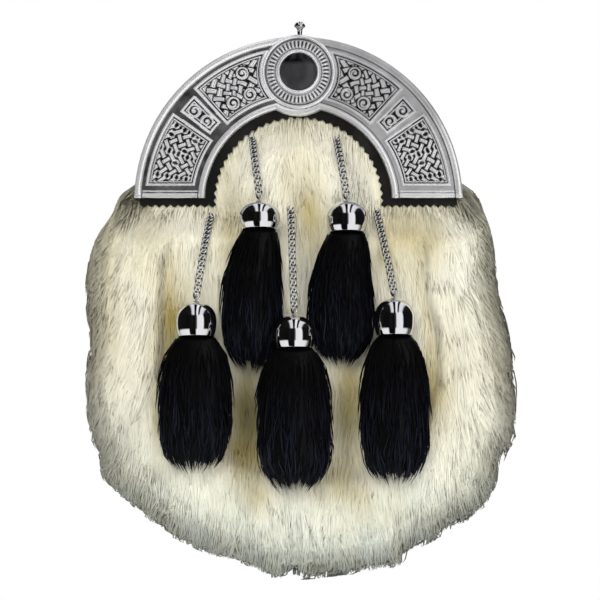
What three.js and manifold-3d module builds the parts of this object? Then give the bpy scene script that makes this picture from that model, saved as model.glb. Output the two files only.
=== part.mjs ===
// A full-dress sporran pouch as it hangs when worn. Millimetres: +Z up, +Y to the back, +X to the right.
// Everything is worked out in the cantle's frame, whose zero is the centre of its half ring.
// The whole is moved at the end, so that the origin lies on the line of the strap behind the pouch.
import * as THREE from "three";
import { mergeVertices } from "three/addons/utils/BufferGeometryUtils.js";
import Module from "manifold-3d";

const wasm = await Module();
wasm.setup();

// Layers, as y in the cantle's frame. Clearance is the gap that separate pieces keep.
const CLEARANCE = 0.3;
const POUCH_FRONT_Y = -8;
const POUCH_BACK_Y = 7;
const HAIR_UNDER_LEATHER_Y = -12.5;
const LEATHER_BACK_Y = -12.8;
const LEATHER_THICK = 1.6;
const CANTLE_BACK_Y = LEATHER_BACK_Y - LEATHER_THICK - CLEARANCE;

// Cantle: radii of its half ring, and heights above its back plane.
const CANTLE_R = 73.8;
const CANTLE_INNER_R = 42;
const FIELD_H = 2;
const RELIEF_H = 3.1;
const FLANGE_THICK = 1.6;
const ARCH_STEPS = 32;
const END_BAR = { height: 3.4, h: 3.2 };
const CANTLE_PROFILE = [
  { r: 42.0, h: 1.2 },
  { r: 43.2, h: 3.0 },
  { r: 45.2, h: 2.8 },
  { r: 46.2, h: FIELD_H },
  { r: 47.4, h: 2.8 },
  { r: 48.4, h: FIELD_H },
  { r: 68.2, h: FIELD_H },
  { r: 69.2, h: 2.8 },
  { r: 70.6, h: FIELD_H },
  { r: 71.2, h: 1.2 },
  { r: 72.0, h: 3.1 },
  { r: CANTLE_R, h: 2.0 },
];

// Boss on the cantle's middle, with its bezel and stone.
const BOSS_Z = 58;
const BOSS_LIP = { inner: 17.6, outer: 19.9, h: 3 };
const BOSS_PROFILE = [
  { r: 17.0, h: 3.0 },
  { r: 15.4, h: 4.0 },
  { r: 14.2, h: 2.8 },
  { r: 10.8, h: 4.0 },
  { r: 10.2, h: 3.2 },
  { r: 9.6, h: 4.8 },
  { r: 8.5, h: 4.8 },
  { r: 8.5, h: 2.6 },
];
const BOSS_STEPS = 16;
const BOSS_ROOT_H = 0.5;
const STONE = { r: 8.2, floor: 2.9, girdle: 4.4, top: 6 };

// Relief on the cantle. Angles are in degrees above the horizontal, measured on the right half.
const PLAIT = { from: 9.5, to: 32.5, middleR: 58.2, swing: 7.4, waves: 1.5, width: 3.2, steps: 8 };
const SMALL_PANEL = { from: 36.5, to: 45, inner: 51.3, outer: 66.6 };
const UPPER_PANEL_FROM = 47;
const RIB_WIDTH = 1.3;
const SPIRALS = [
  { angle: 40.8, r: 55.2, size: 3.1, turns: 1.1, start: 90, width: 1.1 },
  { angle: 40.8, r: 62.8, size: 3.1, turns: 1.1, start: 270, width: 1.1 },
  { angle: 54.5, r: 53.5, size: 4.7, turns: 1.3, start: 20, width: 1.5 },
  { angle: 56.5, r: 64.3, size: 4.3, turns: 1.3, start: 200, width: 1.5 },
];
const SPIRAL_STEPS = 6;

// Catch on top of the cantle. The knob slides in the collar and is pressed down to open the frame.
const CATCH = { x: 0.6, y: -4.6, hole: 1.6, holeSteps: 8 };
const COLLAR = { r: 2.7, bottom: 72.6, top: 75.3, steps: 12 };
const KNOB_PROFILE = [
  { r: 1.3, z: 68.6 },
  { r: 1.3, z: 70.4 },
  { r: 1.0, z: 75.5 },
  { r: 1.4, z: 79.2 },
  { r: 2.6, z: 79.7 },
  { r: 2.6, z: 80.3 },
  { r: 1.5, z: 81.9 },
];

const KNOB = { tip: 0.3, steps: 12 };

// Rear frame and hinge barrels.
const REAR_FRAME = { inner: 63, back: POUCH_BACK_Y + CLEARANCE, thick: 1.5 };
const FRAME_SPLIT_Y = -1.5;
const HINGE = { x: 76.1, z: -2.7, r: 2.2, length: 5, steps: 10 };

// Pinked leather between the cantle and the fur.
const LEATHER = { outer: 71.5, inner: 37.1, bottom: -2.8 };
const PINKING = { pitch: 4.5, depth: 1.8 };

// Outlines seen from the front: half widths below the arch. The fur's is the hair's, less its tips.
const POUCH_ARCH_R = 70.3;
const POUCH_WALL = 2;
const POUCH_SIDES = [
  { z: -4, half: 71.2 },
  { z: -20, half: 78 },
  { z: -48, half: 83 },
  { z: -85, half: 85 },
  { z: -112, half: 81 },
  { z: -133, half: 66 },
  { z: -147, half: 42 },
  { z: -153.5, half: 16 },
];
const FUR_ARCH_R = 70.2;
const FUR_SIDES = [
  { z: -1.6, half: 75 },
  { z: -9, half: 83 },
  { z: -25, half: 88.5 },
  { z: -50, half: 91 },
  { z: -85, half: 92.5 },
  { z: -112, half: 89 },
  { z: -130, half: 80 },
  { z: -146, half: 60 },
  { z: -157, half: 34 },
  { z: -162, half: 12 },
];
const MIDDLE_Z = -42;
const OUTLINE_STEPS = 24;
const FUR_STEPS = 30;
const ROOM = 0.35;
const ROOM_R = 76;
const BELLY = { depth: 8.5, power: 8, from: 25, to: -60 };
const MOUTH = { inner: 58, outer: 76, fromDeg: 14 };

// Depth of the fur at shares of the way from its middle to its outline: a puffed rim round a lower middle.
const FUR_DEPTHS = [
  { share: 0.35, y: -28 },
  { share: 0.6, y: -30 },
  { share: 0.78, y: -33.5 },
  { share: 0.91, y: -29.5 },
  { share: 1, y: -13 },
];
const FUR_MIDDLE_Y = -27.5;
const FUR_EDGE_BACK_Y = -2;
const FUR_RISE = { arch: 14.5, archReach: 17, side: 22, sideReach: 20 };
const STRIP = { raised: 1.6, sunk: 0.8, proud: 1.2 };

// Rows of locks, from the middle outwards: roots as a share of the way to the outline, and sizes.
const LOCK_ROWS = [
  { share: 0.7, count: 8, length: 34, width: 20, thick: 7, lift: 1, gap: 64, droop: 0.4 },
  { share: 0.9, count: 20, length: 21, width: 24, thick: 10, lift: -9, gap: 12, droop: 0.5 },
];
const LOCK_SWAY = 0.17;

// Chains and tassels. Cap and hair places are x, z; chains start at top.
const CAP = { r: 9, wall: 0.7, recess: 2.4, steps: 10 };
const BAIL = { r: 1.45, wire: 0.35, sunk: 0.25 };
const LINK = { pitch: 4.9, wire: 0.5, width: 3, bite: 0.67, sides: 5, steps: 6, roll: 45 };
const TASSELS = [
  { name: "upper_left", topX: -21.4, topZ: 32.9, x: -17.1, y: -36, cap: -0.9, h: 12.6 },
  { name: "upper_right", topX: 16.4, topZ: 33.3, x: 21.4, y: -36, cap: -0.9, h: 14 },
  { name: "lower_left", topX: -39.4, topZ: -5.9, x: -44.8, y: -43, cap: -45, h: 15.8 },
  { name: "lower_middle", topX: -3.4, topZ: -3.2, x: -1.8, y: -47, cap: -51.3, h: 14.4 },
  { name: "lower_right", topX: 34.9, topZ: -3.4, x: 42.1, y: -43, cap: -43.7, h: 16.6 },
];
const TUFTS = {
  upper_left: { x: -20.3, wide: 28.9, end: -73.5 },
  upper_right: { x: 19.1, wide: 30.6, end: -71 },
  lower_left: { x: -46.2, wide: 33, end: -120 },
  lower_middle: { x: -1.4, wide: 33.8, end: -127 },
  lower_right: { x: 42.6, wide: 31.5, end: -124 },
};

// How a chain comes forward on its way down. Both are shares of the way from its upper end to the cap's eye.
const CHAIN_SUNK = 2;
const CHAIN_OVER_POUCH_Y = -13.4;
const CHAIN_UNDER_LEATHER_Y = -10.7;
const CHAIN_BENDS = {
  upper: [
    { down: 0, out: 0 },
    { down: 0.1, out: 0.03 },
    { down: 0.32, out: 0.5 },
    { down: 0.62, out: 0.86 },
    { down: 1, out: 1 },
  ],
  lower: [
    { down: 0, out: 0 },
    { down: 0.14, out: 0.3 },
    { down: 0.36, out: 0.62 },
    { down: 0.66, out: 0.86 },
    { down: 1, out: 1 },
  ],
};
const HAIR_DEPTH = 17;
const HAIR_LOCKS = 8;

// Loops for the strap on the back.
const LOOP = { x: 40, width: 22, thick: 2, reach: 7, top: 28, bottom: -22, foot: 9, corner: 3 };
const STRAP_LINE = { y: POUCH_BACK_Y + 3.8, z: 3 };

const METAL = { color: 0xc9c9cc, roughness: 0.22, metalness: 1 };
const MATERIALS = {
  metal: new THREE.MeshStandardMaterial(METAL),
  stone: new THREE.MeshStandardMaterial({ color: 0x2c2c2e, roughness: 0.12 }),
  leather: new THREE.MeshStandardMaterial({ color: 0x141416, roughness: 0.55 }),
  fur: new THREE.MeshStandardMaterial({ color: 0xece7d2, roughness: 0.9 }),
  hair: new THREE.MeshStandardMaterial({ color: 0x0c0c10, roughness: 0.7 }),
};

const radians = THREE.MathUtils.degToRad;
const { smoothstep, lerp } = THREE.MathUtils;

/** A closed geometry as a solid. Faces that point inwards are turned round. */
function solidOf(geometry) {
  const bare = geometry.index ? geometry.toNonIndexed() : geometry.clone();
  bare.deleteAttribute("normal");
  bare.deleteAttribute("uv");
  const merged = mergeVertices(bare, 1e-4);
  const vertProperties = new Float32Array(merged.attributes.position.array);
  const corners = merged.index.array;
  const triVerts = [];
  for (let i = 0; i < corners.length; i += 3) {
    const [a, b, c] = [corners[i], corners[i + 1], corners[i + 2]];
    if (a !== b && b !== c && c !== a) triVerts.push(a, b, c);
  }
  const build = (tris) => {
    const mesh = new wasm.Mesh({ numProp: 3, vertProperties, triVerts: new Uint32Array(tris) });
    return new wasm.Manifold(mesh);
  };
  const made = build(triVerts);
  return made.volume() < 0 ? build(triVerts.reverse()) : made;
}

/** A named mesh of a solid, or of its largest body where a cut left scraps. */
function meshOf(name, solid, material) {
  const bodies = solid.decompose().sort((a, b) => b.volume() - a.volume());
  const { vertProperties, triVerts, numProp, numVert } = bodies[0].getMesh();
  const places = new Float32Array(numVert * 3);
  for (let i = 0; i < numVert; i += 1) {
    places.set(vertProperties.subarray(i * numProp, i * numProp + 3), i * 3);
  }
  const geometry = new THREE.BufferGeometry();
  geometry.setAttribute("position", new THREE.BufferAttribute(places, 3));
  geometry.setIndex(new THREE.BufferAttribute(triVerts, 1));
  geometry.computeVertexNormals();
  const mesh = new THREE.Mesh(geometry, material);
  mesh.name = name;
  return mesh;
}

const joined = (solids) => solids.reduce((all, one) => all.add(one));
const cut = (solid, tools) => tools.reduce((left, tool) => left.subtract(tool), solid);

/** Closed skin over rings of equally many points. A single point closes an end, and so does a flat cap. */
function loft(rings) {
  const places = [];
  const faces = [];
  const starts = rings.map((ring) => {
    const start = places.length / 3;
    ring.forEach((p) => places.push(p.x, p.y, p.z));
    return start;
  });
  const count = Math.max(...rings.map((ring) => ring.length));
  for (let k = 0; k + 1 < rings.length; k += 1) {
    for (let i = 0; i < count; i += 1) {
      const next = (i + 1) % count;
      const [a, b] = [starts[k], starts[k + 1]];
      const narrow = rings[k].length === 1;
      const ends = rings[k + 1].length === 1;
      if (narrow) faces.push(a, b + i, b + next);
      else if (ends) faces.push(a + i, b, a + next);
      else faces.push(a + i, b + i, b + next, a + i, b + next, a + next);
    }
  }
  [0, rings.length - 1].forEach((k) => {
    if (rings[k].length === 1) return;
    for (let i = 1; i + 1 < count; i += 1) {
      const fan = [starts[k], starts[k] + i, starts[k] + i + 1];
      faces.push(...(k === 0 ? fan : fan.reverse()));
    }
  });
  const geometry = new THREE.BufferGeometry();
  geometry.setAttribute("position", new THREE.Float32BufferAttribute(places, 3));
  geometry.setIndex(faces);
  return solidOf(geometry);
}

/** Solid turned about the y axis from rows of r and y that end on the axis or close on themselves. */
function turnedAboutY(rows, steps) {
  return solidOf(new THREE.LatheGeometry(rows.map(({ r, y }) => new THREE.Vector2(r, y)), steps));
}

/** Solid turned about a vertical axis at x, y from rows of r and z that run from axis to axis. */
function turnedAboutZ(rows, steps, x, y) {
  const points = rows.map(({ r, z }) => new THREE.Vector2(r, z));
  const geometry = new THREE.LatheGeometry(points, steps);
  return solidOf(geometry.rotateX(Math.PI / 2).translate(x, y, 0));
}

/** Solid of a front outline, given as points of x and z, between two depths. */
function frontPlate(outline, fromY, toY) {
  const shape = new THREE.Shape(outline.map(({ x, z }) => new THREE.Vector2(x, z)));
  const depth = Math.abs(toY - fromY);
  const geometry = new THREE.ExtrudeGeometry(shape, { depth, bevelEnabled: false });
  return solidOf(geometry.rotateX(Math.PI / 2).translate(0, Math.max(fromY, toY), 0));
}

function boxOf(low, high) {
  const size = high.clone().sub(low);
  const middle = low.clone().add(high).multiplyScalar(0.5);
  const geometry = new THREE.BoxGeometry(size.x, size.y, size.z);
  return solidOf(geometry.translate(middle.x, middle.y, middle.z));
}

/** Points on an arc about the cantle's centre, in degrees above the horizontal. */
function arc(r, fromDeg, toDeg, steps) {
  return Array.from({ length: steps + 1 }, (_, i) => polar(r, lerp(fromDeg, toDeg, i / steps)));
}

function polar(r, degrees) {
  return { x: r * Math.cos(radians(degrees)), z: r * Math.sin(radians(degrees)) };
}

/** Keeps what lies above the cantle's flat ends. */
function aboveEnds(solid) {
  const below = boxOf(new THREE.Vector3(-90, -40, -90), new THREE.Vector3(90, 40, 0));
  return solid.subtract(below);
}

/** Raised ridge along a line on the cantle's face, with a triangular section. */
function ridge(line, width, base, top) {
  const rings = line.map((p, i) => {
    const before = line[Math.max(i - 1, 0)];
    const after = line[Math.min(i + 1, line.length - 1)];
    const along = new THREE.Vector2(after.x - before.x, after.z - before.z).normalize();
    const [sideX, sideZ] = [-along.y * width * 0.5, along.x * width * 0.5];
    return [
      new THREE.Vector3(p.x + sideX, CANTLE_BACK_Y - base, p.z + sideZ),
      new THREE.Vector3(p.x, CANTLE_BACK_Y - top, p.z),
      new THREE.Vector3(p.x - sideX, CANTLE_BACK_Y - base, p.z - sideZ),
    ];
  });
  return loft(rings);
}

/** The ridges of the right half: plait, panel ribs and spirals. */
function reliefLines() {
  const lines = [];
  [1, -1].forEach((side) => {
    const line = Array.from({ length: PLAIT.steps + 1 }, (_, i) => {
      const share = i / PLAIT.steps;
      const swing = side * PLAIT.swing * Math.cos(2 * Math.PI * PLAIT.waves * share);
      return polar(PLAIT.middleR + swing, lerp(PLAIT.from, PLAIT.to, share));
    });
    lines.push({ line, width: PLAIT.width });
  });
  [34.5, UPPER_PANEL_FROM].forEach((degrees) => {
    lines.push({ line: [polar(47.6, degrees), polar(69, degrees)], width: RIB_WIDTH });
  });
  [SMALL_PANEL.inner, SMALL_PANEL.outer].forEach((r) => {
    lines.push({ line: arc(r, SMALL_PANEL.from, SMALL_PANEL.to, 2), width: RIB_WIDTH });
  });
  SPIRALS.forEach((spiral) => {
    const centre = polar(spiral.r, spiral.angle);
    const line = Array.from({ length: SPIRAL_STEPS + 1 }, (_, i) => {
      const share = i / SPIRAL_STEPS;
      const turn = radians(spiral.start + 360 * spiral.turns * share);
      const r = lerp(spiral.size, spiral.size * 0.25, share);
      return { x: centre.x + r * Math.cos(turn), z: centre.z + r * Math.sin(turn) };
    });
    lines.push({ line, width: spiral.width });
  });
  return lines;
}

function relief() {
  const ridges = reliefLines().flatMap(({ line, width }) => {
    const mirrored = line.map(({ x, z }) => ({ x: -x, z }));
    return [line, mirrored].map((one) => ridge(one, width, FIELD_H - 0.5, RELIEF_H));
  });
  return joined(ridges);
}

function boss() {
  const rim = BOSS_PROFILE[0].r;
  const floor = BOSS_PROFILE[BOSS_PROFILE.length - 1].h;
  const rows = [{ r: 0, h: BOSS_ROOT_H }, { r: rim, h: BOSS_ROOT_H }, ...BOSS_PROFILE, { r: 0, h: floor }];
  const profile = rows.map(({ r, h }) => ({ r, y: CANTLE_BACK_Y - h }));
  return turnedAboutY(profile, BOSS_STEPS).translate([0, 0, BOSS_Z]);
}

/** Lip that bulges round the boss, kept inside the cantle's rim. */
function bossLip() {
  const lip = turnedAboutY(
    [
      { r: 0, y: CANTLE_BACK_Y },
      { r: BOSS_LIP.outer, y: CANTLE_BACK_Y },
      { r: BOSS_LIP.outer, y: CANTLE_BACK_Y - 1.2 },
      { r: BOSS_LIP.outer - 1, y: CANTLE_BACK_Y - BOSS_LIP.h },
      { r: BOSS_LIP.inner, y: CANTLE_BACK_Y - BOSS_LIP.h + 0.2 },
      { r: BOSS_LIP.inner - 0.6, y: CANTLE_BACK_Y - FIELD_H },
      { r: 0, y: CANTLE_BACK_Y - FIELD_H },
    ],
    BOSS_STEPS,
  );
  const inside = frontPlate(arc(71, 0, 180, 28), CANTLE_BACK_Y + 1, CANTLE_BACK_Y - 8);
  return lip.translate([0, 0, BOSS_Z]).intersect(inside);
}

/** Upright round rod on the catch's line. */
function rod(r, low, high, steps) {
  const rows = [{ r: 0, z: low }, { r, z: low }, { r, z: high }, { r: 0, z: high }];
  return turnedAboutZ(rows, steps, CATCH.x, CATCH.y);
}

function cantle() {
  const front = CANTLE_PROFILE.map(({ r, h }) => ({ r, y: CANTLE_BACK_Y - h }));
  const flangeY = FRAME_SPLIT_Y - CLEARANCE;
  const profile = [
    ...front,
    { r: CANTLE_R, y: flangeY },
    { r: CANTLE_R - FLANGE_THICK, y: flangeY },
    { r: CANTLE_R - FLANGE_THICK, y: CANTLE_BACK_Y },
    { r: CANTLE_INNER_R, y: CANTLE_BACK_Y },
    front[0],
  ];
  const band = aboveEnds(turnedAboutY(profile, ARCH_STEPS));
  const bars = [1, -1].map((side) => {
    const [a, b] = [side * (CANTLE_INNER_R + 0.4), side * (CANTLE_R - 0.4)];
    return boxOf(
      new THREE.Vector3(Math.min(a, b), CANTLE_BACK_Y - END_BAR.h, 0),
      new THREE.Vector3(Math.max(a, b), CANTLE_BACK_Y - 0.2, END_BAR.height),
    );
  });
  const collar = rod(COLLAR.r, COLLAR.bottom, COLLAR.top, COLLAR.steps);
  const hole = rod(CATCH.hole, COLLAR.bottom - 2, COLLAR.top + 2, CATCH.holeSteps);
  return joined([band, ...bars, relief(), bossLip(), boss(), collar]).subtract(hole);
}

function stone() {
  const rows = [
    { r: 0, y: CANTLE_BACK_Y - STONE.floor },
    { r: STONE.r, y: CANTLE_BACK_Y - STONE.floor },
    { r: STONE.r, y: CANTLE_BACK_Y - STONE.girdle },
    { r: STONE.r * 0.8, y: CANTLE_BACK_Y - lerp(STONE.girdle, STONE.top, 0.75) },
    { r: STONE.r * 0.45, y: CANTLE_BACK_Y - STONE.top },
    { r: 0, y: CANTLE_BACK_Y - STONE.top },
  ];
  return turnedAboutY(rows, 20).translate([0, 0, BOSS_Z]);
}

function knob() {
  const foot = { r: 0, z: KNOB_PROFILE[0].z };
  const tip = { r: 0, z: KNOB_PROFILE[KNOB_PROFILE.length - 1].z + KNOB.tip };
  return turnedAboutZ([foot, ...KNOB_PROFILE, tip], KNOB.steps, CATCH.x, CATCH.y);
}

function rearFrame() {
  const { inner, back, thick } = REAR_FRAME;
  const front = FRAME_SPLIT_Y + CLEARANCE;
  const rows = [
    { r: CANTLE_R, y: front },
    { r: CANTLE_R, y: back + thick },
    { r: inner, y: back + thick },
    { r: inner, y: back },
    { r: CANTLE_R - FLANGE_THICK, y: back },
    { r: CANTLE_R - FLANGE_THICK, y: front },
  ];
  return aboveEnds(turnedAboutY([...rows, rows[0]], ARCH_STEPS));
}

function hinge(side, extra) {
  const r = HINGE.r + extra;
  const barrel = new THREE.CylinderGeometry(r, r, HINGE.length + extra * 2, HINGE.steps);
  return solidOf(barrel.rotateZ(Math.PI / 2).translate(side * HINGE.x, FRAME_SPLIT_Y, HINGE.z));
}

/** Zigzag from one end of a line to the other, given the line's place at a share and its tooth direction. */
function pinked(placeAt, length) {
  const corners = Math.round(length / PINKING.pitch) * 2;
  return Array.from({ length: corners }, (_, i) => {
    return placeAt((i + 0.5) / corners, i % 2 ? PINKING.depth : 0);
  });
}

function cantleLeather() {
  const { outer, inner, bottom } = LEATHER;
  const flat = (side) => (share, depth) => {
    const across = side > 0 ? lerp(outer, inner, share) : lerp(-inner, -outer, share);
    return { x: across, z: bottom + depth };
  };
  const innerArc = pinked((share, depth) => polar(inner + depth, 180 * share), Math.PI * inner);
  const outline = [
    ...arc(outer, 180, 0, 26),
    { x: outer, z: bottom + PINKING.depth },
    ...pinked(flat(1), outer - inner),
    ...innerArc,
    ...pinked(flat(-1), outer - inner),
    { x: -outer, z: bottom + PINKING.depth },
  ];
  return frontPlate(outline, LEATHER_BACK_Y, LEATHER_BACK_Y - LEATHER_THICK);
}

/** Closed outline: an arch and a smooth line through the side rows, equally spaced, from the top. */
function outlineOf(archR, sides, count, grow) {
  const quarter = arc(archR, 90, 3, 8);
  const right = [...quarter, ...sides.map(({ z, half }) => ({ x: half, z }))];
  const bottom = { x: 0, z: sides[sides.length - 1].z - 0.5 };
  const left = right.slice(1).reverse().map(({ x, z }) => ({ x: -x, z }));
  const points = [...right, bottom, ...left].map(({ x, z }) => new THREE.Vector3(x, 0, z));
  const line = new THREE.CatmullRomCurve3(points, true, "centripetal");
  return Array.from({ length: count }, (_, i) => {
    const place = line.getPointAt(i / count);
    const along = line.getTangentAt(i / count);
    return { x: place.x - along.z * grow, z: place.z + along.x * grow };
  });
}

/** Ring at a share of the way from the middle to the outline, with y worked out for each point. */
function ringAt(outline, share, depthAt) {
  return outline.map(({ x, z }, i) => {
    const place = { x: x * share, z: MIDDLE_Z + (z - MIDDLE_Z) * share };
    return new THREE.Vector3(place.x, depthAt(place, i), place.z);
  });
}

/** How far the pouch's front swells at a place: nothing under the cantle, most at the belly. */
function belly(share, z) {
  return BELLY.depth * (1 - share ** BELLY.power) * smoothstep(BELLY.from - z, 0, BELLY.from - BELLY.to);
}

/** The pouch's outer form, grown by extra on every side. It also hollows the pouch and clears the fur. */
function pouchForm(count, extra) {
  const outline = outlineOf(POUCH_ARCH_R, POUCH_SIDES, count, extra);
  const back = POUCH_BACK_Y + extra;
  const front = POUCH_FRONT_Y - extra;
  const swollen = (share) => ringAt(outline, share, ({ z }) => front - belly(share, z));
  return loft([
    ringAt(outline, 0.965, () => back),
    ringAt(outline, 1, () => back - 2.5),
    ringAt(outline, 1, () => front + 2.5),
    swollen(0.965),
    swollen(0.82),
    [new THREE.Vector3(0, front - belly(0, MIDDLE_Z), MIDDLE_Z)],
  ]);
}

function pouchBody() {
  const { inner, outer, fromDeg } = MOUTH;
  const front = POUCH_FRONT_Y + POUCH_WALL;
  const back = POUCH_BACK_Y - POUCH_WALL;
  const ends = [fromDeg, 180 - fromDeg];
  const arch = [...arc(outer, ends[0], ends[1], 16), ...arc(inner, ends[1], ends[0], 12)];
  const inside = pouchForm(OUTLINE_STEPS, -POUCH_WALL);
  return cut(pouchForm(OUTLINE_STEPS, 0), [inside, frontPlate(arch, front, back)]);
}

/** How far the hair may stand out at a place: flat under the leather, rising beyond its edges. */
function hairCeiling({ x, z }) {
  const { arch, archReach, side, sideReach } = FUR_RISE;
  const inArch = z > LEATHER.bottom ? LEATHER.inner - Math.hypot(x, z) : LEATHER.inner - Math.abs(x);
  const rise = Math.max(
    arch * smoothstep(inArch, 0.6, archReach),
    side * smoothstep(LEATHER.bottom - 0.4 - z, 0, sideReach),
  );
  return HAIR_UNDER_LEATHER_Y - rise;
}

function hairDepth(share, place) {
  const rows = [{ share: 0, y: FUR_MIDDLE_Y }, ...FUR_DEPTHS];
  const next = Math.max(1, rows.findIndex((row) => row.share >= share));
  const [a, b] = [rows[next - 1], rows[next]];
  const y = lerp(a.y, b.y, smoothstep(share, a.share, b.share));
  return Math.max(y, hairCeiling(place));
}

/** One lock: three stations from a buried root over a swell to a pointed tip, with a four-sided section. */
function lock(root, along, out, { length, width, thick, lift }, sway) {
  const side = new THREE.Vector3().crossVectors(along, out).normalize();
  const station = (share, wide, deep, rise) => {
    const centre = root
      .clone()
      .addScaledVector(along, length * share)
      .addScaledVector(out, rise)
      .addScaledVector(side, sway * length * share * share);
    const [w, d] = [wide * width * 0.5, deep * thick * 0.5];
    return [[w, 0], [0, d], [-w, 0], [0, -d]].map(([s, o]) =>
      centre.clone().addScaledVector(side, s).addScaledVector(out, o),
    );
  };
  const tip = root
    .clone()
    .addScaledVector(along, length)
    .addScaledVector(out, lift)
    .addScaledVector(side, sway * length);
  return loft([station(0, 0.7, 1, -thick * 0.3), station(0.45, 1, 1, lift * 0.3 - thick * 0.1), [tip]]);
}

/** Locks in rows round the fur's middle, each leaning outwards and down along the surface. */
function locks(outline) {
  const line = outline.map(({ x, z }) => new THREE.Vector3(x, 0, z - MIDDLE_Z));
  const loop = new THREE.CatmullRomCurve3(line, true);
  return LOCK_ROWS.flatMap((row, k) => {
    const open = row.gap / 360;
    return Array.from({ length: row.count }, (_, i) => {
      const share = lerp(open, 1 - open, (i + 0.5) / row.count);
      const edge = loop.getPointAt(share);
      const place = { x: edge.x * row.share, z: edge.z * row.share + MIDDLE_Z };
      const outwards = new THREE.Vector3(edge.x, 0, edge.z).normalize();
      const along = outwards.lerp(new THREE.Vector3(0, 0, -1), row.droop).normalize();
      const root = new THREE.Vector3(place.x, hairDepth(row.share, place), place.z);
      const sway = LOCK_SWAY * Math.sin(i * 2.4 + k * 1.7);
      return lock(root, along, new THREE.Vector3(0, -1, 0), row, sway);
    });
  });
}

/** What the fur keeps clear of: the leather, the cantle and its flange, the rear frame and the hinges. */
function frameRoom() {
  const low = LEATHER.bottom - ROOM;
  const outline = [...arc(ROOM_R, 0, 180, 20), { x: -ROOM_R, z: low }];
  const inner = LEATHER.inner - ROOM;
  const room = [
    ...outline,
    { x: -inner, z: low },
    ...arc(inner, 180, 0, 16),
    { x: inner, z: low },
    { x: ROOM_R, z: low },
  ];
  const flangeInner = CANTLE_R - FLANGE_THICK - ROOM;
  const flange = [...arc(ROOM_R, -ROOM, 180 + ROOM, 20), ...arc(flangeInner, 180 + ROOM, -ROOM, 20)];
  return [
    frontPlate(room, HAIR_UNDER_LEATHER_Y, -60),
    frontPlate(flange, -30, 20),
    hinge(1, ROOM),
    hinge(-1, ROOM),
  ];
}

/** The fur: a pile whose surface runs outwards in strips, with locks over it and round its rim. */
function furFront() {
  const outline = outlineOf(FUR_ARCH_R, FUR_SIDES, FUR_STEPS, 0);
  const strips = outline.map(({ x, z }, i) => {
    const grow = z < LEATHER.bottom && i % 2 ? 1 + STRIP.proud / Math.hypot(x, z - MIDDLE_Z) : 1;
    return { x: x * grow, z: MIDDLE_Z + (z - MIDDLE_Z) * grow };
  });
  const shares = [...FUR_DEPTHS].reverse().map(({ share }) => share);
  const surface = (share) =>
    ringAt(strips, share, (place, i) => {
      const y = hairDepth(share, place);
      const free = smoothstep(HAIR_UNDER_LEATHER_Y - y, 0, 8);
      return y + free * (i % 2 ? -STRIP.raised : STRIP.sunk);
    });
  const pile = loft([
    ringAt(outline, 0.9, () => FUR_EDGE_BACK_Y),
    ...shares.map(surface),
    [new THREE.Vector3(0, FUR_MIDDLE_Y, MIDDLE_Z)],
  ]);
  const tools = [pouchForm(OUTLINE_STEPS, ROOM), ...frameRoom(), ...TASSELS.flatMap(tasselRoom)];
  return cut(joined([pile, ...locks(outline)]), tools);
}

/** Where a chain starts: behind the leather, or a little inside the fur. */
function chainStartY({ name, topX, topZ }) {
  if (name.startsWith("upper")) return CHAIN_UNDER_LEATHER_Y;
  const surface = Math.max(FUR_MIDDLE_Y, hairCeiling({ x: topX, z: topZ }));
  return Math.min(CHAIN_OVER_POUCH_Y, surface + CHAIN_SUNK);
}

/** Line of a chain to the eye of its cap, from extra above the place where it leaves the sporran. */
function chainLine(tassel, extra = 0) {
  const start = chainStartY(tassel);
  const eyeZ = tassel.cap + BAIL.r - BAIL.sunk + LINK.bite / 2;
  const points = CHAIN_BENDS[tassel.name.split("_")[0]].map(({ down, out }) => {
    const y = lerp(start, tassel.y, out);
    return new THREE.Vector3(lerp(tassel.topX, tassel.x, down), y, lerp(tassel.topZ, eyeZ, down));
  });
  const back = points[0].clone().sub(points[1]).setLength(extra);
  points[0].add(back);
  return new THREE.CatmullRomCurve3(points, false, "centripetal");
}

/** One link: a six-sided ring of wire with flat ends, whose middle line alone is stretched along y. */
function linkGeometry(length) {
  const unit = 10;
  const ring = new THREE.TorusGeometry(unit, LINK.wire, LINK.sides, LINK.steps);
  const place = ring.attributes.position;
  const [wide, long] = [LINK.width / 2, length / 2 / Math.sin(Math.PI / 3)];
  for (let i = 0; i < place.count; i += 1) {
    const p = new THREE.Vector3().fromBufferAttribute(place, i);
    const middle = new THREE.Vector3(p.x, p.y, 0).normalize();
    const off = p.addScaledVector(middle, -unit);
    place.setXYZ(i, middle.x * wide + off.x, middle.y * long + off.y, off.z);
  }
  return ring;
}

/** Links end to end along the line, each a quarter turned to the one before, which it holds. */
function chain(tassel) {
  const places = chainLine(tassel).getSpacedPoints(linkCount(tassel));
  const links = places.slice(1).map((low, i) => {
    const along = places[i].clone().sub(low);
    const length = along.length() + LINK.bite;
    along.normalize();
    const across = new THREE.Vector3().crossVectors(along, new THREE.Vector3(0, 1, 0)).normalize();
    const facing = new THREE.Vector3().crossVectors(across, along);
    const turn = new THREE.Matrix4().makeBasis(across, along, facing);
    turn.multiply(new THREE.Matrix4().makeRotationY(radians(i % 2 ? LINK.roll : -LINK.roll)));
    turn.setPosition(low.clone().add(places[i]).multiplyScalar(0.5));
    return solidOf(linkGeometry(length).applyMatrix4(turn));
  });
  return joined(links);
}

const linkCount = (tassel) => Math.round(chainLine(tassel).getLength() / LINK.pitch);

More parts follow.
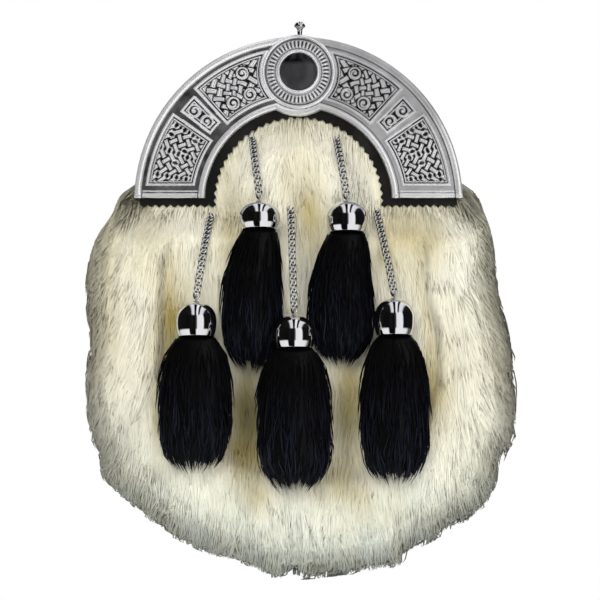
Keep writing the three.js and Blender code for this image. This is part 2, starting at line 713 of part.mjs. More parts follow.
/** Metal bell with a rim, open below over the tuft's head, and with an eye on top. */
function tasselCap(tassel) {
  const { r, wall, recess } = CAP;
  const foot = tassel.cap - tassel.h;
  const rows = [
    { r: 0, z: foot + recess },
    { r: r - wall, z: foot + recess },
    { r: r - wall, z: foot },
    { r, z: foot },
    { r, z: foot + 1.4 },
    { r: r * 0.94, z: lerp(foot, tassel.cap, 0.45) },
    { r: r * 0.72, z: lerp(foot, tassel.cap, 0.78) },
    { r: r * 0.34, z: lerp(foot, tassel.cap, 0.96) },
    { r: 0, z: tassel.cap },
  ];
  const bell = turnedAboutZ(rows, CAP.steps, tassel.x, tassel.y);
  const eye = new THREE.TorusGeometry(BAIL.r, BAIL.wire, 4, 6).rotateX(Math.PI / 2);
  eye.rotateZ(radians(bailTurn(tassel)));
  eye.translate(tassel.x, tassel.y, tassel.cap + BAIL.r - BAIL.sunk);
  return bell.add(solidOf(eye));
}

/** The eye stands across the chain's last link. */
function bailTurn(tassel) {
  return linkCount(tassel) % 2 ? LINK.roll : -LINK.roll;
}

/** Tuft: a head inside the cap, then locks that spread and end in uneven points, joined all round. */
function tuft(tassel) {
  const foot = tassel.cap - tassel.h;
  const { x: hairX, wide, end } = TUFTS[tassel.name];
  const drop = foot - end;
  const ring = (share, half, deep, groove) =>
    Array.from({ length: HAIR_LOCKS * 2 }, (_, i) => {
      const turn = (Math.PI * i) / HAIR_LOCKS;
      const r = i % 2 ? 1 - groove : 1;
      const x = lerp(tassel.x, hairX, Math.min(1, share * 1.6));
      const z = foot - (share === 1 ? lockEnd(i, drop) : drop * share);
      return new THREE.Vector3(x + Math.cos(turn) * half * r, tassel.y + Math.sin(turn) * deep * r, z);
    });
  const head = CAP.r - 1.5;
  return loft([
    ring(0, head, head, 0).map((p) => p.setZ(foot + 2)),
    ring(0.02, head, head, 0),
    ring(0.28, wide * 0.39, HAIR_DEPTH * 0.45, 0.08),
    ring(0.6, wide * 0.5, HAIR_DEPTH * 0.5, 0.14),
    ring(0.82, wide * 0.43, HAIR_DEPTH * 0.45, 0.2),
    ring(1, wide * 0.23, HAIR_DEPTH * 0.24, 0.2),
    [new THREE.Vector3(hairX, tassel.y, foot - drop * 0.86)],
  ]);
}

/** How far down a point of the tuft's last ring lies: long at the locks, short between them. */
function lockEnd(i, drop) {
  if (i % 2) return drop * 0.9;
  return drop * (0.96 + 0.04 * Math.sin(i * 1.9));
}

/** What the fur keeps clear of at one tassel: its chain, its cap and its tuft. */
function tasselRoom(tassel) {
  const { name, x, y, cap, h } = tassel;
  const { x: hairX, wide, end } = TUFTS[name];
  const foot = cap - h;
  const section = new THREE.Shape().absarc(0, 0, LINK.width / 2 + LINK.wire + ROOM, 0, Math.PI * 2);
  const extrudePath = chainLine(tassel, 1.8);
  const tube = new THREE.ExtrudeGeometry(section, { steps: 8, curveSegments: 4, extrudePath });
  const capR = CAP.r + 3 * ROOM;
  const bell = [
    { r: 0, z: foot - 1 },
    { r: capR, z: foot - 1 },
    { r: capR, z: lerp(foot, cap, 0.6) },
    { r: capR * 0.6, z: cap + ROOM },
    { r: 0, z: cap + ROOM },
  ];
  const half = wide / 2 + 4 * ROOM;
  const hair = [
    { r: 0, z: end - 2 },
    { r: half * 0.6, z: end - 1 },
    { r: half, z: lerp(end, foot, 0.25) },
    { r: half, z: lerp(end, foot, 0.72) },
    { r: half * 0.85, z: foot },
    { r: 0, z: foot + 1 },
  ];
  const flat = (HAIR_DEPTH * 0.5 + 4 * ROOM) / half;
  const form = turnedAboutZ(hair, CAP.steps, 0, 0).scale([1, flat, 1]).translate([hairX, y, 0]);
  return [solidOf(tube), turnedAboutZ(bell, CAP.steps, x, y), form];
}

/** Loop of leather: feet flat on the back wall, and between them a stretch that stands off for the strap. */
function beltLoop(side) {
  const { x, width, thick, reach, top, bottom, foot, corner } = LOOP;
  const near = POUCH_BACK_Y + CLEARANCE;
  const far = near + reach;
  const [high, low] = [top - foot, bottom + foot];
  const inner = [
    [near, top], [near, high + corner * 0.2], [far - corner, high], [far, high - corner],
    [far, low + corner], [far - corner, low], [near, low - corner * 0.2], [near, bottom],
  ];
  const outer = [
    [near + thick, bottom], [near + thick, low - thick], [far - corner + thick, low - thick * 0.6],
    [far + thick, low + corner - thick * 0.6], [far + thick, high - corner + thick * 0.6],
    [far - corner + thick, high + thick * 0.6], [near + thick, high + thick], [near + thick, top],
  ];
  const shape = new THREE.Shape([...inner, ...outer].map(([y, z]) => new THREE.Vector2(y, z)));
  const strip = new THREE.ExtrudeGeometry(shape, { depth: width, bevelEnabled: false });
  const [alongX, alongY, alongZ] = [[1, 0, 0], [0, 1, 0], [0, 0, 1]].map((v) => new THREE.Vector3(...v));
  strip.applyMatrix4(new THREE.Matrix4().makeBasis(alongY, alongZ, alongX));
  return solidOf(strip.translate(side * x - width / 2, 0, 0));
}

const sporran = new THREE.Group();
sporran.position.set(0, -STRAP_LINE.y, -STRAP_LINE.z);
const pieces = [
  ["cantle", cantle(), MATERIALS.metal],
  ["cantle_stone", stone(), MATERIALS.stone],
  ["catch_knob", knob(), MATERIALS.metal],
  ["rear_frame", rearFrame(), MATERIALS.metal],
  ["frame_hinge_left", hinge(-1, 0), MATERIALS.metal],
  ["frame_hinge_right", hinge(1, 0), MATERIALS.metal],
  ["cantle_leather", cantleLeather(), MATERIALS.leather],
  ["pouch_body", pouchBody(), MATERIALS.leather],
  ["belt_loop_left", beltLoop(-1), MATERIALS.leather],
  ["belt_loop_right", beltLoop(1), MATERIALS.leather],
  ["fur_front", furFront(), MATERIALS.fur],
];
TASSELS.forEach((tassel) => {
  pieces.push(["chain_" + tassel.name, chain(tassel), MATERIALS.metal]);
  pieces.push(["tassel_cap_" + tassel.name, tasselCap(tassel), MATERIALS.metal]);
  pieces.push(["tassel_fur_" + tassel.name, tuft(tassel), MATERIALS.hair]);
});
pieces.forEach(([name, solid, material]) => sporran.add(meshOf(name, solid, material)));

const part = new THREE.Group();
part.add(sporran);
export default part;
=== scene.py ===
"""Looks of a full-dress sporran pouch as it hangs when worn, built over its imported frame.

Places are worked out in millimetres from the centre of the cantle's half ring, with x to the right, y to the back
and z up. placed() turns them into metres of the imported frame.
"""

from __future__ import annotations

import logging
import math
from collections.abc import Callable, Sequence
from dataclasses import dataclass, field
from enum import Enum
from functools import partial

import bpy
import numpy as np
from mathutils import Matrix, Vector

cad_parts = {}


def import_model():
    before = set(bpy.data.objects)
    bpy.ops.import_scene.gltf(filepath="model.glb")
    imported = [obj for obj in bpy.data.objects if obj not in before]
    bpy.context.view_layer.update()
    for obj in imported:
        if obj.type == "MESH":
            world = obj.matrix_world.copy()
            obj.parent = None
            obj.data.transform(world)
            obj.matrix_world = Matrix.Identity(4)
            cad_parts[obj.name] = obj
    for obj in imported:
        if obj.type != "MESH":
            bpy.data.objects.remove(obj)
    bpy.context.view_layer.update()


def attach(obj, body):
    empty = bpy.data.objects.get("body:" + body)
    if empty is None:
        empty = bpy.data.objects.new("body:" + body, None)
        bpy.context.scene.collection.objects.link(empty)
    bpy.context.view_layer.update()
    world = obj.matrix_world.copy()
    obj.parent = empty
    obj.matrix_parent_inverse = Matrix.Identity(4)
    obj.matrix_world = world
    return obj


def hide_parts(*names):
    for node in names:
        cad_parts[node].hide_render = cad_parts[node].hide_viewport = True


LOG = logging.getLogger("sporran")
Array = np.ndarray

STRAP_LINE_MM = np.array([0.0, 10.8, 3.0])
BACKWARD = np.array([0.0, 1.0, 0.0])
MM = 0.001
POUCH = "pouch"
CATCH = "catch"


class Slot(Enum):
    """Material slots of the record."""

    CANTLE = "cantle_metal"
    STONE = "stone"
    LEATHER = "black_leather"
    FUR = "white_fur"
    CHAIN = "chain_metal"
    CAP = "cap_metal"
    HAIR = "black_hair"


# Shapes as whole arrays


def placed(points: Array) -> Array:
    """Points in millimetres of the cantle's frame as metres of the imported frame: less the strap line, times 0.001."""
    return (points - STRAP_LINE_MM) * MM


def smoothstep(value: Array, low: float, high: float) -> Array:
    """Rises from 0 at low to 1 at high as 3t² - 2t³, with t the clipped share of the way."""
    t = np.clip((value - low) / (high - low), 0.0, 1.0)
    return t * t * (3.0 - 2.0 * t)


def unit(vectors: Array) -> Array:
    """Vectors over their own lengths."""
    return vectors / (np.linalg.norm(vectors, axis=-1, keepdims=True) + 1e-12)


def ridge(off: Array, half: float, power: float = 2.0) -> Array:
    """Section of a raised line: one less the power of the way off over the half width, and not under zero."""
    return np.clip(1 - np.abs(off / half) ** power, 0, 1)


def all_round(count: int) -> Array:
    """Angles of so many places evenly round a full turn."""
    return np.linspace(0, 2 * np.pi, count, endpoint=False)


def turned(radius: Array, y: Array, angle: Array) -> Array:
    """Places round the zero as seen from the front: radius times cosine and sine of the angle, at the depth y."""
    return np.stack(np.broadcast_arrays(radius * np.cos(angle), y, radius * np.sin(angle)), axis=-1)


def ripples(x: Array, z: Array, size: float, seed: int) -> Array:
    """Soft unevenness between about -1 and 1.

    The mean of seven sine waves in drawn directions, whose lengths lie round the size, times 1.6.

    Args:
        x: Places across, in mm.
        z: Places up, in mm.
        size: Typical length of a wave, in mm.
        seed: Start of the draw.

    Returns:
        The unevenness at each place.
    """
    draw = np.random.default_rng(seed)
    total = np.zeros(np.broadcast(x, z).shape)
    for _ in range(7):
        turn, phase, stretch = draw.uniform(0, 2 * np.pi), draw.uniform(0, 2 * np.pi), draw.uniform(0.7, 1.5)
        k = 2 * np.pi / (size * stretch)
        total += np.sin(k * (x * np.cos(turn) + z * np.sin(turn)) + phase)
    return total / 7 * 1.6


@dataclass
class Skin:
    """Points, faces and marks of one closed surface, or of several."""

    points: Array
    faces: list[Array]
    marks: dict[str, Array] = field(default_factory=dict)

    def moved(self, x: float = 0.0, y: float = 0.0, z: float = 0.0) -> Skin:
        """The same skin carried by x, y and z."""
        return Skin(self.points + np.array([x, y, z]), self.faces, self.marks)

    def volume(self) -> float:
        """Signed volume: a sixth of the sum of a dot (b cross c) over the fan of triangles of each face.

        Returns:
            The volume, in mm³.
        """
        total = 0.0
        for face in self.faces:
            first = self.points[face[:, 0]]
            for k in range(1, face.shape[1] - 1):
                b, c = self.points[face[:, k]], self.points[face[:, k + 1]]
                total += float(np.einsum("ij,ij->", first, np.cross(b, c)))
        return total / 6

    def outward(self) -> Skin:
        """The same skin, turned round if its faces point inwards."""
        return self if self.volume() > 0 else Skin(self.points, [f[:, ::-1] for f in self.faces], self.marks)


def together(skins: Sequence[Skin]) -> Skin:
    """Several skins as one, with their marks, where a missing mark counts as zero.

    Args:
        skins: The skins.

    Returns:
        The one skin.
    """
    names = {name for skin in skins for name in skin.marks}
    starts = np.cumsum([0] + [len(skin.points) for skin in skins])
    faces = [face + start for skin, start in zip(skins, starts) for face in skin.faces]
    marks = {
        name: np.concatenate([skin.marks.get(name, np.zeros(len(skin.points))) for skin in skins]) for name in names
    }
    return Skin(np.concatenate([skin.points for skin in skins]), faces, marks)


def grid_faces(rows: int, cols: int, rows_close: bool = False, cols_close: bool = False) -> Array:
    """Quads of a grid whose point of row i and column j is number i * cols + j.

    Args:
        rows: Rows of the grid.
        cols: Its columns.
        rows_close: Whether the last row joins the first.
        cols_close: Whether the last column joins the first.

    Returns:
        Rows of four numbers of points.
    """
    i = np.arange(rows if rows_close else rows - 1)[:, None]
    j = np.arange(cols if cols_close else cols - 1)[None, :]
    i2, j2 = (i + 1) % rows, (j + 1) % cols
    quads = np.stack(np.broadcast_arrays(i * cols + j, i * cols + j2, i2 * cols + j2, i2 * cols + j), axis=-1)
    return quads.reshape(-1, 4)


def capped(rings: Array, marks: dict[str, Array] | None = None) -> Skin:
    """Closed skin over rings of equally many points, with a fan of triangles to the middle of each end ring.

    Args:
        rings: Places as rows by columns by 3. The columns close on themselves.
        marks: Values as rows by columns.

    Returns:
        The skin, facing out.
    """
    rows, cols = rings.shape[:2]
    ends = np.stack([rings[0].mean(axis=0), rings[-1].mean(axis=0)])
    points = np.concatenate([rings.reshape(-1, 3), ends])
    j = np.arange(cols)
    j2 = (j + 1) % cols
    first = np.stack([j2, j, np.full(cols, rows * cols)], axis=-1)
    last = np.stack([j, j2, np.full(cols, rows * cols + 1)], axis=-1) + np.array([(rows - 1) * cols] * 2 + [0])
    kept = {}
    for name, value in (marks or {}).items():
        ends = np.stack([value[0].mean(axis=0), value[-1].mean(axis=0)])
        kept[name] = np.concatenate([value.reshape(rows * cols, *value.shape[2:]), ends])
    return Skin(points, [grid_faces(rows, cols, cols_close=True), first, last], kept).outward()


def looped(rings: Array) -> Skin:
    """Closed skin over a grid of places whose rows and columns both run back to their start, facing out."""
    return Skin(rings.reshape(-1, 3), [grid_faces(*rings.shape[:2], True, True)]).outward()


def lathe(profile: Array, steps: int, axis: str = "z") -> Skin:
    """Closed skin of a profile of radius and height turned a full round about an axis through the zero.

    A point at angle a lies at radius times cosine and sine of a, and at its height along the axis.

    Args:
        profile: Rows of radius and height. The first and last are closed by fans.
        steps: Points round.
        axis: "x", "y" or "z".

    Returns:
        The skin, facing out.
    """
    a = all_round(steps)
    r, h = profile[:, :1], profile[:, 1:]
    across, up, along = r * np.cos(a), r * np.sin(a), h + 0 * a
    order = {"z": (across, up, along), "y": (across, along, up), "x": (along, across, up)}[axis]
    return capped(np.stack(order, axis=-1))


def frames_along(path: Array, facing: Array) -> tuple[Array, Array, Array]:
    """Directions along a path: tangent, across and up.

    The tangent is the unit difference of the neighbours, across is tangent cross facing, up is across cross tangent.

    Args:
        path: Places, any number of axes before the last two.
        facing: Direction that up keeps nearest to.

    Returns:
        Unit tangents, across and up directions, shaped like the path.
    """
    tangent = unit(np.gradient(path, axis=-2))
    across = unit(np.cross(tangent, facing))
    return tangent, across, np.cross(across, tangent)


def swept(path: Array, section: Array, facing: Array) -> Skin:
    """Section of across and up values carried along a path, closed at both ends by fans.

    Args:
        path: Places as rows.
        section: Rows of across and up, in mm.
        facing: Direction that up keeps nearest to.

    Returns:
        The skin, facing out.
    """
    _, across, up = frames_along(path, facing)
    rings = path[:, None] + section[None, :, :1] * across[:, None] + section[None, :, 1:] * up[:, None]
    return capped(rings)


def smooth_line(knots: Array, count: int, closed: bool = False) -> Array:
    """Catmull-Rom line through the knots, taken again at equal distances.

    Between two knots the line is half of (2b + (c - a)t + (2a - 5b + 4c - d)t² + (3b - a - 3c + d)t³).

    Args:
        knots: Places as rows.
        count: Number of places wanted.
        closed: Whether the line runs back to its start.

    Returns:
        The places. A closed line leaves its start out at the end.
    """
    if closed:
        full = np.concatenate([knots[-1:], knots, knots[:2]])
    else:
        full = np.concatenate([2 * knots[:1] - knots[1:2], knots, 2 * knots[-1:] - knots[-2:-1]])
    a, b, c, d = (full[k : len(full) - 3 + k, None] for k in range(4))
    t = np.linspace(0, 1, 24, endpoint=False)[None, :, None]
    line = 0.5 * (2 * b + (c - a) * t + (2 * a - 5 * b + 4 * c - d) * t**2 + (3 * b - a - 3 * c + d) * t**3)
    line = np.concatenate([line.reshape(-1, knots.shape[1]), full[-2:-1]])
    far = np.concatenate([[0], np.cumsum(np.linalg.norm(np.diff(line, axis=0), axis=1))])
    wanted = np.linspace(0, far[-1], count, endpoint=not closed)
    return np.stack([np.interp(wanted, far, line[:, k]) for k in range(line.shape[1])], axis=-1)


def strands(paths: Array, radii: Array, marks: dict[str, Array]) -> Skin:
    """Hairs as closed three-sided prisms that run to a point.

    Each station but the last carries a triangle of its radius round the path, and the last is the point.

    Args:
        paths: Places as hairs by stations by 3.
        radii: Radii as hairs by stations less one.
        marks: Values as hairs by stations.

    Returns:
        The hairs as one skin, facing out.
    """
    count, stations = paths.shape[:2]
    _, across, up = frames_along(paths, np.array([0.31, -0.9, 0.2]))
    a = all_round(3)
    ring = across[:, :-1, None] * np.cos(a)[:, None] + up[:, :-1, None] * np.sin(a)[:, None]
    body = paths[:, :-1, None] + ring * radii[:, :, None, None]
    per = (stations - 1) * 3 + 1
    points = np.concatenate([body.reshape(count, -1, 3), paths[:, -1:]], axis=1).reshape(-1, 3)
    start = (np.arange(count) * per)[:, None, None]
    sides = (grid_faces(stations - 1, 3, cols_close=True)[None] + start).reshape(-1, 4)
    k = (stations - 2) * 3
    tips = np.array([[k, k + 1, per - 1], [k + 1, k + 2, per - 1], [k + 2, k, per - 1]])
    corners = np.concatenate([tips, [[0, 2, 1]]])
    fans = (corners[None] + start).reshape(-1, 3)
    kept = {}
    for name, value in marks.items():
        spread = np.concatenate([np.repeat(value[:, :-1], 3, axis=1), value[:, -1:]], axis=1)
        kept[name] = spread.reshape(count * per, *value.shape[2:])
    return Skin(points, [sides, fans], kept).outward()


def stitches(places: Array, along: Array, out: Array, length: float, radius: float) -> Skin:
    """Thread stitches as short bars with rounded ends, half sunk in what they sew.

    Each bar is a six-sided tube whose radius follows the square root of one less the fourth power of the way from
    its middle, and whose middle line stands out by the cosine of that way.

    Args:
        places: Middles of the stitches, as rows.
        along: Unit directions of the stitches.
        out: Unit directions away from the leather.
        length: Length of one stitch, in mm.
        radius: Radius of the thread, in mm.

    Returns:
        All the stitches as one skin.
    """
    share = np.array([-1.0, -0.8, 0.0, 0.8, 1.0])
    thick = np.sqrt(np.clip(1 - share**4, 0.05, 1)) * radius
    rise = np.cos(share * np.pi / 2) * radius * 1.2 - radius * 0.3
    side = np.cross(along, out)
    middle = places[:, None] + along[:, None] * (share * length / 2)[:, None] + out[:, None] * rise[:, None]
    a = all_round(6)
    ring = side[:, None, None] * np.cos(a)[:, None] + out[:, None, None] * np.sin(a)[:, None]
    bars = middle[:, :, None] + ring * thick[:, None, None]
    return together([capped(bar) for bar in bars])


# Finishes


def linear(code: str) -> tuple[float, float, float, float]:
    """An sRGB hex value as linear red, green and blue with full cover.

    Args:
        code: The value, such as #FFFFFF.

    Returns:
        Red, green, blue and 1.
    """
    values = [int(code[k : k + 2], 16) / 255 for k in (1, 3, 5)]
    red, green, blue = (v / 12.92 if v <= 0.04045 else ((v + 0.055) / 1.055) ** 2.4 for v in values)
    return (red, green, blue, 1.0)


def feed(node: bpy.types.Node, inputs: dict[int | str, object]) -> None:
    """Fills sockets of a node.

    Args:
        node: The node.
        inputs: Sockets by name or number. A node as the value is linked by its first output, a socket is linked
            itself, and anything else is set.
    """
    for key, value in inputs.items():
        source = value.outputs[0] if isinstance(value, bpy.types.Node) else value
        if isinstance(source, bpy.types.NodeSocket):
            node.id_data.links.new(source, node.inputs[key])
        else:
            node.inputs[key].default_value = source


def add_node(
    tree: bpy.types.NodeTree,
    kind: str,
    inputs: dict[int | str, object] | None = None,
    stops: Sequence[tuple[float, str]] = (),
    **settings: object,
) -> bpy.types.Node:
    """Adds a node with its settings and links.

    Args:
        tree: Tree that the node goes into.
        kind: Blender's name of the node, without what every shader node's name starts with.
        inputs: Sockets by name or number, as feed() takes them.
        stops: Places and sRGB hex values of a colour ramp.
        settings: The node's own settings.

    Returns:
        The new node.
    """
    node = tree.nodes.new("ShaderNode" + kind)
    for name, value in settings.items():
        setattr(node, name, value)
    feed(node, inputs or {})
    for k, (place, code) in enumerate(stops):
        ramp = node.color_ramp.elements
        stop = ramp[k] if k < 2 else ramp.new(place)
        stop.position, stop.color = place, linear(code)
    return node


@dataclass(frozen=True)
class Finish:
    """What every finish shares: a name and a principled surface that the finish then feeds."""

    name: str

    def start(self, **values: object) -> tuple[bpy.types.Material, bpy.types.Node, Callable[..., bpy.types.Node]]:
        """A new material with its principled node, and add_node() bound to its tree.

        Args:
            values: Values of the principled node's sockets, with _ for a space.

        Returns:
            The material, the principled node and the bound function.
        """
        material = bpy.data.materials.new(self.name)
        material.use_nodes = True
        surface = material.node_tree.nodes["Principled BSDF"]
        feed(surface, {key.replace("_", " "): value for key, value in values.items()})
        return material, surface, partial(add_node, material.node_tree)


@dataclass(frozen=True)
class AntiquedCastSilver(Finish):
    """Silver-plated casting, dipped dark and polished back: bright ridges over near-black recesses."""

    silver: str = "#EDEDEF"
    patina: str = "#141416"
    roughness: float = 0.24
    dark_roughness: float = 0.5
    cloud_mm: float = 6.25
    pit_mm: float = 0.9
    pit_depth_mm: float = 0.2

    def build(self) -> bpy.types.Material:
        """The finish as a material. The dark mark carries the patina and painted shade, broken up by a slow noise.

        Returns:
            The material.
        """
        material, surface, add = self.start(Metallic=0.7)
        place = add("TexCoord").outputs["Object"]
        # The mark holds the patina in the hollows, and on the cantle and the chains painted shade and a painted dark
        # reflection as well.
        recess = add("Attribute", attribute_name="recess").outputs["Fac"]
        cloud = add("TexNoise", {"Vector": place, "Scale": 1000 / self.cloud_mm, "Detail": 3.0})
        uneven = add("Math", {0: cloud, 1: 0.35, 2: -0.17}, operation="MULTIPLY_ADD")
        dark = add("Math", {0: recess, 1: uneven}, operation="ADD", use_clamp=True)
        tint = add("Mix", {0: dark, 6: linear(self.silver), 7: linear(self.patina)}, data_type="RGBA").outputs[2]
        rough = add("MapRange", {"Value": dark, "To Min": self.roughness, "To Max": self.dark_roughness})
        pits = add("TexNoise", {"Vector": place, "Scale": 1000 / self.pit_mm, "Detail": 2.0})
        bump = add("Bump", {"Height": pits, "Strength": 0.12, "Distance": self.pit_depth_mm * MM})
        feed(surface, {"Base Color": tint, "Roughness": rough, "Normal": bump})
        return material


@dataclass(frozen=True)
class PolishedChrome(Finish):
    """Chrome-plated pressing: a mirror that shows what stands round it, with faint wiping marks."""

    chrome: str = "#E6E6EA"
    roughness: float = 0.05
    mark_mm: float = 6.0

    def build(self) -> bpy.types.Material:
        """The finish as a material, with the roughness varied by wiping marks four times as long as wide.

        Returns:
            The material.
        """
        material, surface, add = self.start(Metallic=1.0, Base_Color=linear(self.chrome))
        place = add("TexCoord").outputs["Object"]
        wiped = add("Mapping", {"Vector": place, "Scale": (1.0, 1.0, 0.25)})
        marks = add("TexNoise", {"Vector": wiped, "Scale": 1000 / self.mark_mm, "Detail": 4.0})
        bright, dull = self.roughness * 0.6, self.roughness * 1.8
        feed(surface, {"Roughness": add("MapRange", {"Value": marks, "To Min": bright, "To Max": dull})})
        return material


@dataclass(frozen=True)
class PolishedOnyx(Finish):
    """Dark grey onyx with a wax polish: a deep grey body under a clear, slightly soft reflection."""

    body: str = "#232325"
    cloud: str = "#2C2C2E"
    band: str = "#040404"
    cloud_mm: float = 5.0
    band_mm: tuple[float, float] = (5.2, 3.4)

    def build(self) -> bpy.types.Material:
        """The finish as a material, with faint clouds, and black from 5.2 to 3.4 mm under the stone's top upwards.

        Returns:
            The material.
        """
        material, surface, add = self.start(Roughness=0.2, IOR=1.54, Specular_IOR_Level=0.3)
        place = add("TexCoord").outputs["Object"]
        clouds = add("TexNoise", {"Vector": place, "Scale": 1000 / self.cloud_mm, "Detail": 3.0})
        tint = add("ValToRGB", {"Fac": clouds}, stops=((0.35, self.body), (0.7, self.cloud)))
        height = add("SeparateXYZ", {"Vector": place}).outputs[2]
        low, high = (float(placed(np.array([0.0, 0.0, BOSS_Z + STONE_R - off]))[2]) for off in self.band_mm)
        upper = add("MapRange", {"Value": height, "From Min": low, "From Max": high})
        banded = add("Mix", {0: upper, 6: tint, 7: linear(self.band)}, data_type="RGBA").outputs[2]
        feed(surface, {"Base Color": banded})
        return material


@dataclass(frozen=True)
class GrainedLeather(Finish):
    """Black cowhide, drum-dyed and pressed with a pebble grain, so that it shines only on the pebbles' tops."""

    dye: str = "#0B0A09"
    # Colour of the leather's real wear.
    worn_and_painted_reflection: str = "#1D1B19"
    grain_mm: float = 1.3
    depth_mm: float = 0.12

    def build(self) -> bpy.types.Material:
        """The finish as a material: cells for the pebbles, and a noise about 17 mm across for the wear.

        Returns:
            The material.
        """
        material, surface, add = self.start(Roughness=0.5, Specular_IOR_Level=0.25)
        place = add("TexCoord").outputs["Object"]
        cells = add("TexVoronoi", {"Vector": place, "Scale": 1000 / self.grain_mm}, feature="SMOOTH_F1")
        wear = add("TexNoise", {"Vector": place, "Scale": 60.0, "Detail": 5.0})
        tint = add("ValToRGB", {"Fac": wear}, stops=((0.45, self.dye), (0.75, self.worn_and_painted_reflection)))
        rough = add("MapRange", {"Value": cells, "To Min": 0.42, "To Max": 0.7})
        raised = add("Math", {0: 1.0, 1: cells}, operation="SUBTRACT")
        bump = add("Bump", {"Height": raised, "Strength": 0.6, "Distance": self.depth_mm * MM})
        feed(surface, {"Base Color": tint, "Roughness": rough, "Normal": bump})
        return material


@dataclass(frozen=True)
class WaxedThread(Finish):
    """Waxed linen thread: dull black with a twist that catches a little light.

    The real twist is about 0.7 mm long, and is drawn four times as coarse so that it shows.
    """

    dye: str = "#242426"
    twist_mm: float = 2.77

    def build(self) -> bpy.types.Material:
        """The finish as a material, with the twist as slanting bands, whose length is a tenth of 2π over the scale.

        Returns:
            The material.
        """
        material, surface, add = self.start(Base_Color=linear(self.dye), Roughness=0.6)
        place = add("TexCoord").outputs["Object"]
        scale = 0.2 * math.pi / (self.twist_mm * MM)
        twist = add("TexWave", {"Vector": place, "Scale": scale}, bands_direction="DIAGONAL").outputs["Fac"]
        feed(surface, {"Normal": add("Bump", {"Height": twist, "Strength": 0.4, "Distance": 0.0001})})
        return material


@dataclass(frozen=True)
class IvoryFur(Finish):
    """Bleached goat fur: ivory hair that yellows in patches and cools lower down, with painted shade that greys the
    edge of the pelt.

    Fine pale hair passes light on. Each hair is shaded by the lie of the coat round it, about a third of what it
    shows is light from behind, and its shadow keeps only an eighth of its strength. That gives the soft look
    without hard shadows between the hairs.
    """

    ivory: str = "#F2F0E2"
    # Tint of yellowed hair, which also gives the olive of painted shadow near the tassels and inside the rim.
    yellow_and_shade_tint: str = "#B5A35A"
    cool: str = "#DCE2D6"
    # Painted shade: the grey toward the edge of the pelt and in the shadows near the tassels.
    grey: str = "#56564C"
    # Painted shade deep in the pile: the tint that darkens the hairs toward their roots.
    root: str = "#D8CFA8"
    streak_mm: float = 2.0
    through: float = 0.35
    passed: float = 0.88

    def build(self) -> bpy.types.Material:
        """The finish as a material, mixed from the warm, cool, edge, along, shade and lie marks of each hair. The edge
        mark, part of the warm mark and the tint toward the roots are painted shade.

        Returns:
            The material.
        """
        material, surface, add = self.start(Roughness=0.7, Specular_IOR_Level=0.2)
        names = ("warm", "cool", "edge", "along", "shade")
        marks = {name: add("Attribute", attribute_name=name).outputs["Fac"] for name in names}
        colour = linear(self.ivory)
        # The warm mark is yellowing and painted shadow, and the edge mark is painted shade in grey.
        for name, tint in (("warm", self.yellow_and_shade_tint), ("cool", self.cool), ("edge", self.grey)):
            colour = add("Mix", {0: marks[name], 6: colour, 7: linear(tint)}, data_type="RGBA").outputs[2]
        # Painted shade toward the roots: the colour is multiplied by the root tint over the first 0.4 of each hair.
        deep = add("MapRange", {"Value": marks["along"], "From Max": 0.4, "To Min": 0.35, "To Max": 0.0})
        rooted = add("Mix", {0: deep, 6: colour, 7: linear(self.root)}, data_type="RGBA", blend_type="MULTIPLY")
        place = add("TexCoord").outputs["Object"]
        streak = add("Mapping", {"Vector": place, "Scale": (1.0, 1.0, 0.12)})
        fine = add("TexNoise", {"Vector": streak, "Scale": 1000 / self.streak_mm, "Detail": 2.0})
        mottled = add("Math", {0: fine, 1: 0.1, 2: -0.05}, operation="MULTIPLY_ADD")
        bright = add("Math", {0: marks["shade"], 1: mottled}, operation="ADD")
        hair = add("HueSaturation", {"Value": bright, "Color": rooted.outputs[2]})
        lie = add("Attribute", attribute_name="lie").outputs["Vector"]
        facing = add(
            "VectorTransform", {0: lie}, vector_type="NORMAL", convert_from="OBJECT", convert_to="WORLD"
        )
        feed(surface, {"Base Color": hair, "Normal": facing})
        glow = add("BsdfTranslucent", {"Color": hair, "Normal": facing})
        lit = add("MixShader", {0: self.through, 1: surface, 2: glow})
        shadow = add("LightPath").outputs["Is Shadow Ray"]
        passing = add("Math", {0: shadow, 1: self.passed}, operation="MULTIPLY")
        final = add("MixShader", {0: passing, 1: lit, 2: add("BsdfTransparent")})
        feed(material.node_tree.nodes["Material Output"], {"Surface": final})
        return material


@dataclass(frozen=True)
class BlackHair(Finish):
    """Dyed black horsehair: near black, with a cool sheen painted into its colour along the hairs."""

    dye: str = "#030304"
    sheen: str = "#1A1D29"

    def build(self) -> bpy.types.Material:
        """The finish as a material, with a sheen painted bluer where the shade mark is high and toward the hairs' lower
        halves.

        Returns:
            The material.
        """
        material, surface, add = self.start(Roughness=0.42, Specular_IOR_Level=0.14)
        shade, along = (add("Attribute", attribute_name=name).outputs["Fac"] for name in ("shade", "along"))
        # Painted sheen: the colour turns lighter and bluer toward the tuft's lower part, as far as the shade mark
        # allows.
        low = add("MapRange", {"Value": along, "From Min": 0.2, "From Max": 0.8})
        blue = add("Math", {0: shade, 1: low}, operation="MULTIPLY")
        tint = add("Mix", {0: blue, 6: linear(self.dye), 7: linear(self.sheen)}, data_type="RGBA").outputs[2]
        feed(surface, {"Base Color": tint})
        return material


@dataclass(frozen=True)
class PaleFloor(Finish):
    """Matt white studio floor."""

    paint: str = "#F4F4F3"

    def build(self) -> bpy.types.Material:
        """The finish as a material, with a little light of its own so that it runs into the white surroundings."""
        paint = linear(self.paint)
        return self.start(Base_Color=paint, Roughness=0.9, Emission_Color=paint, Emission_Strength=0.3)[0]


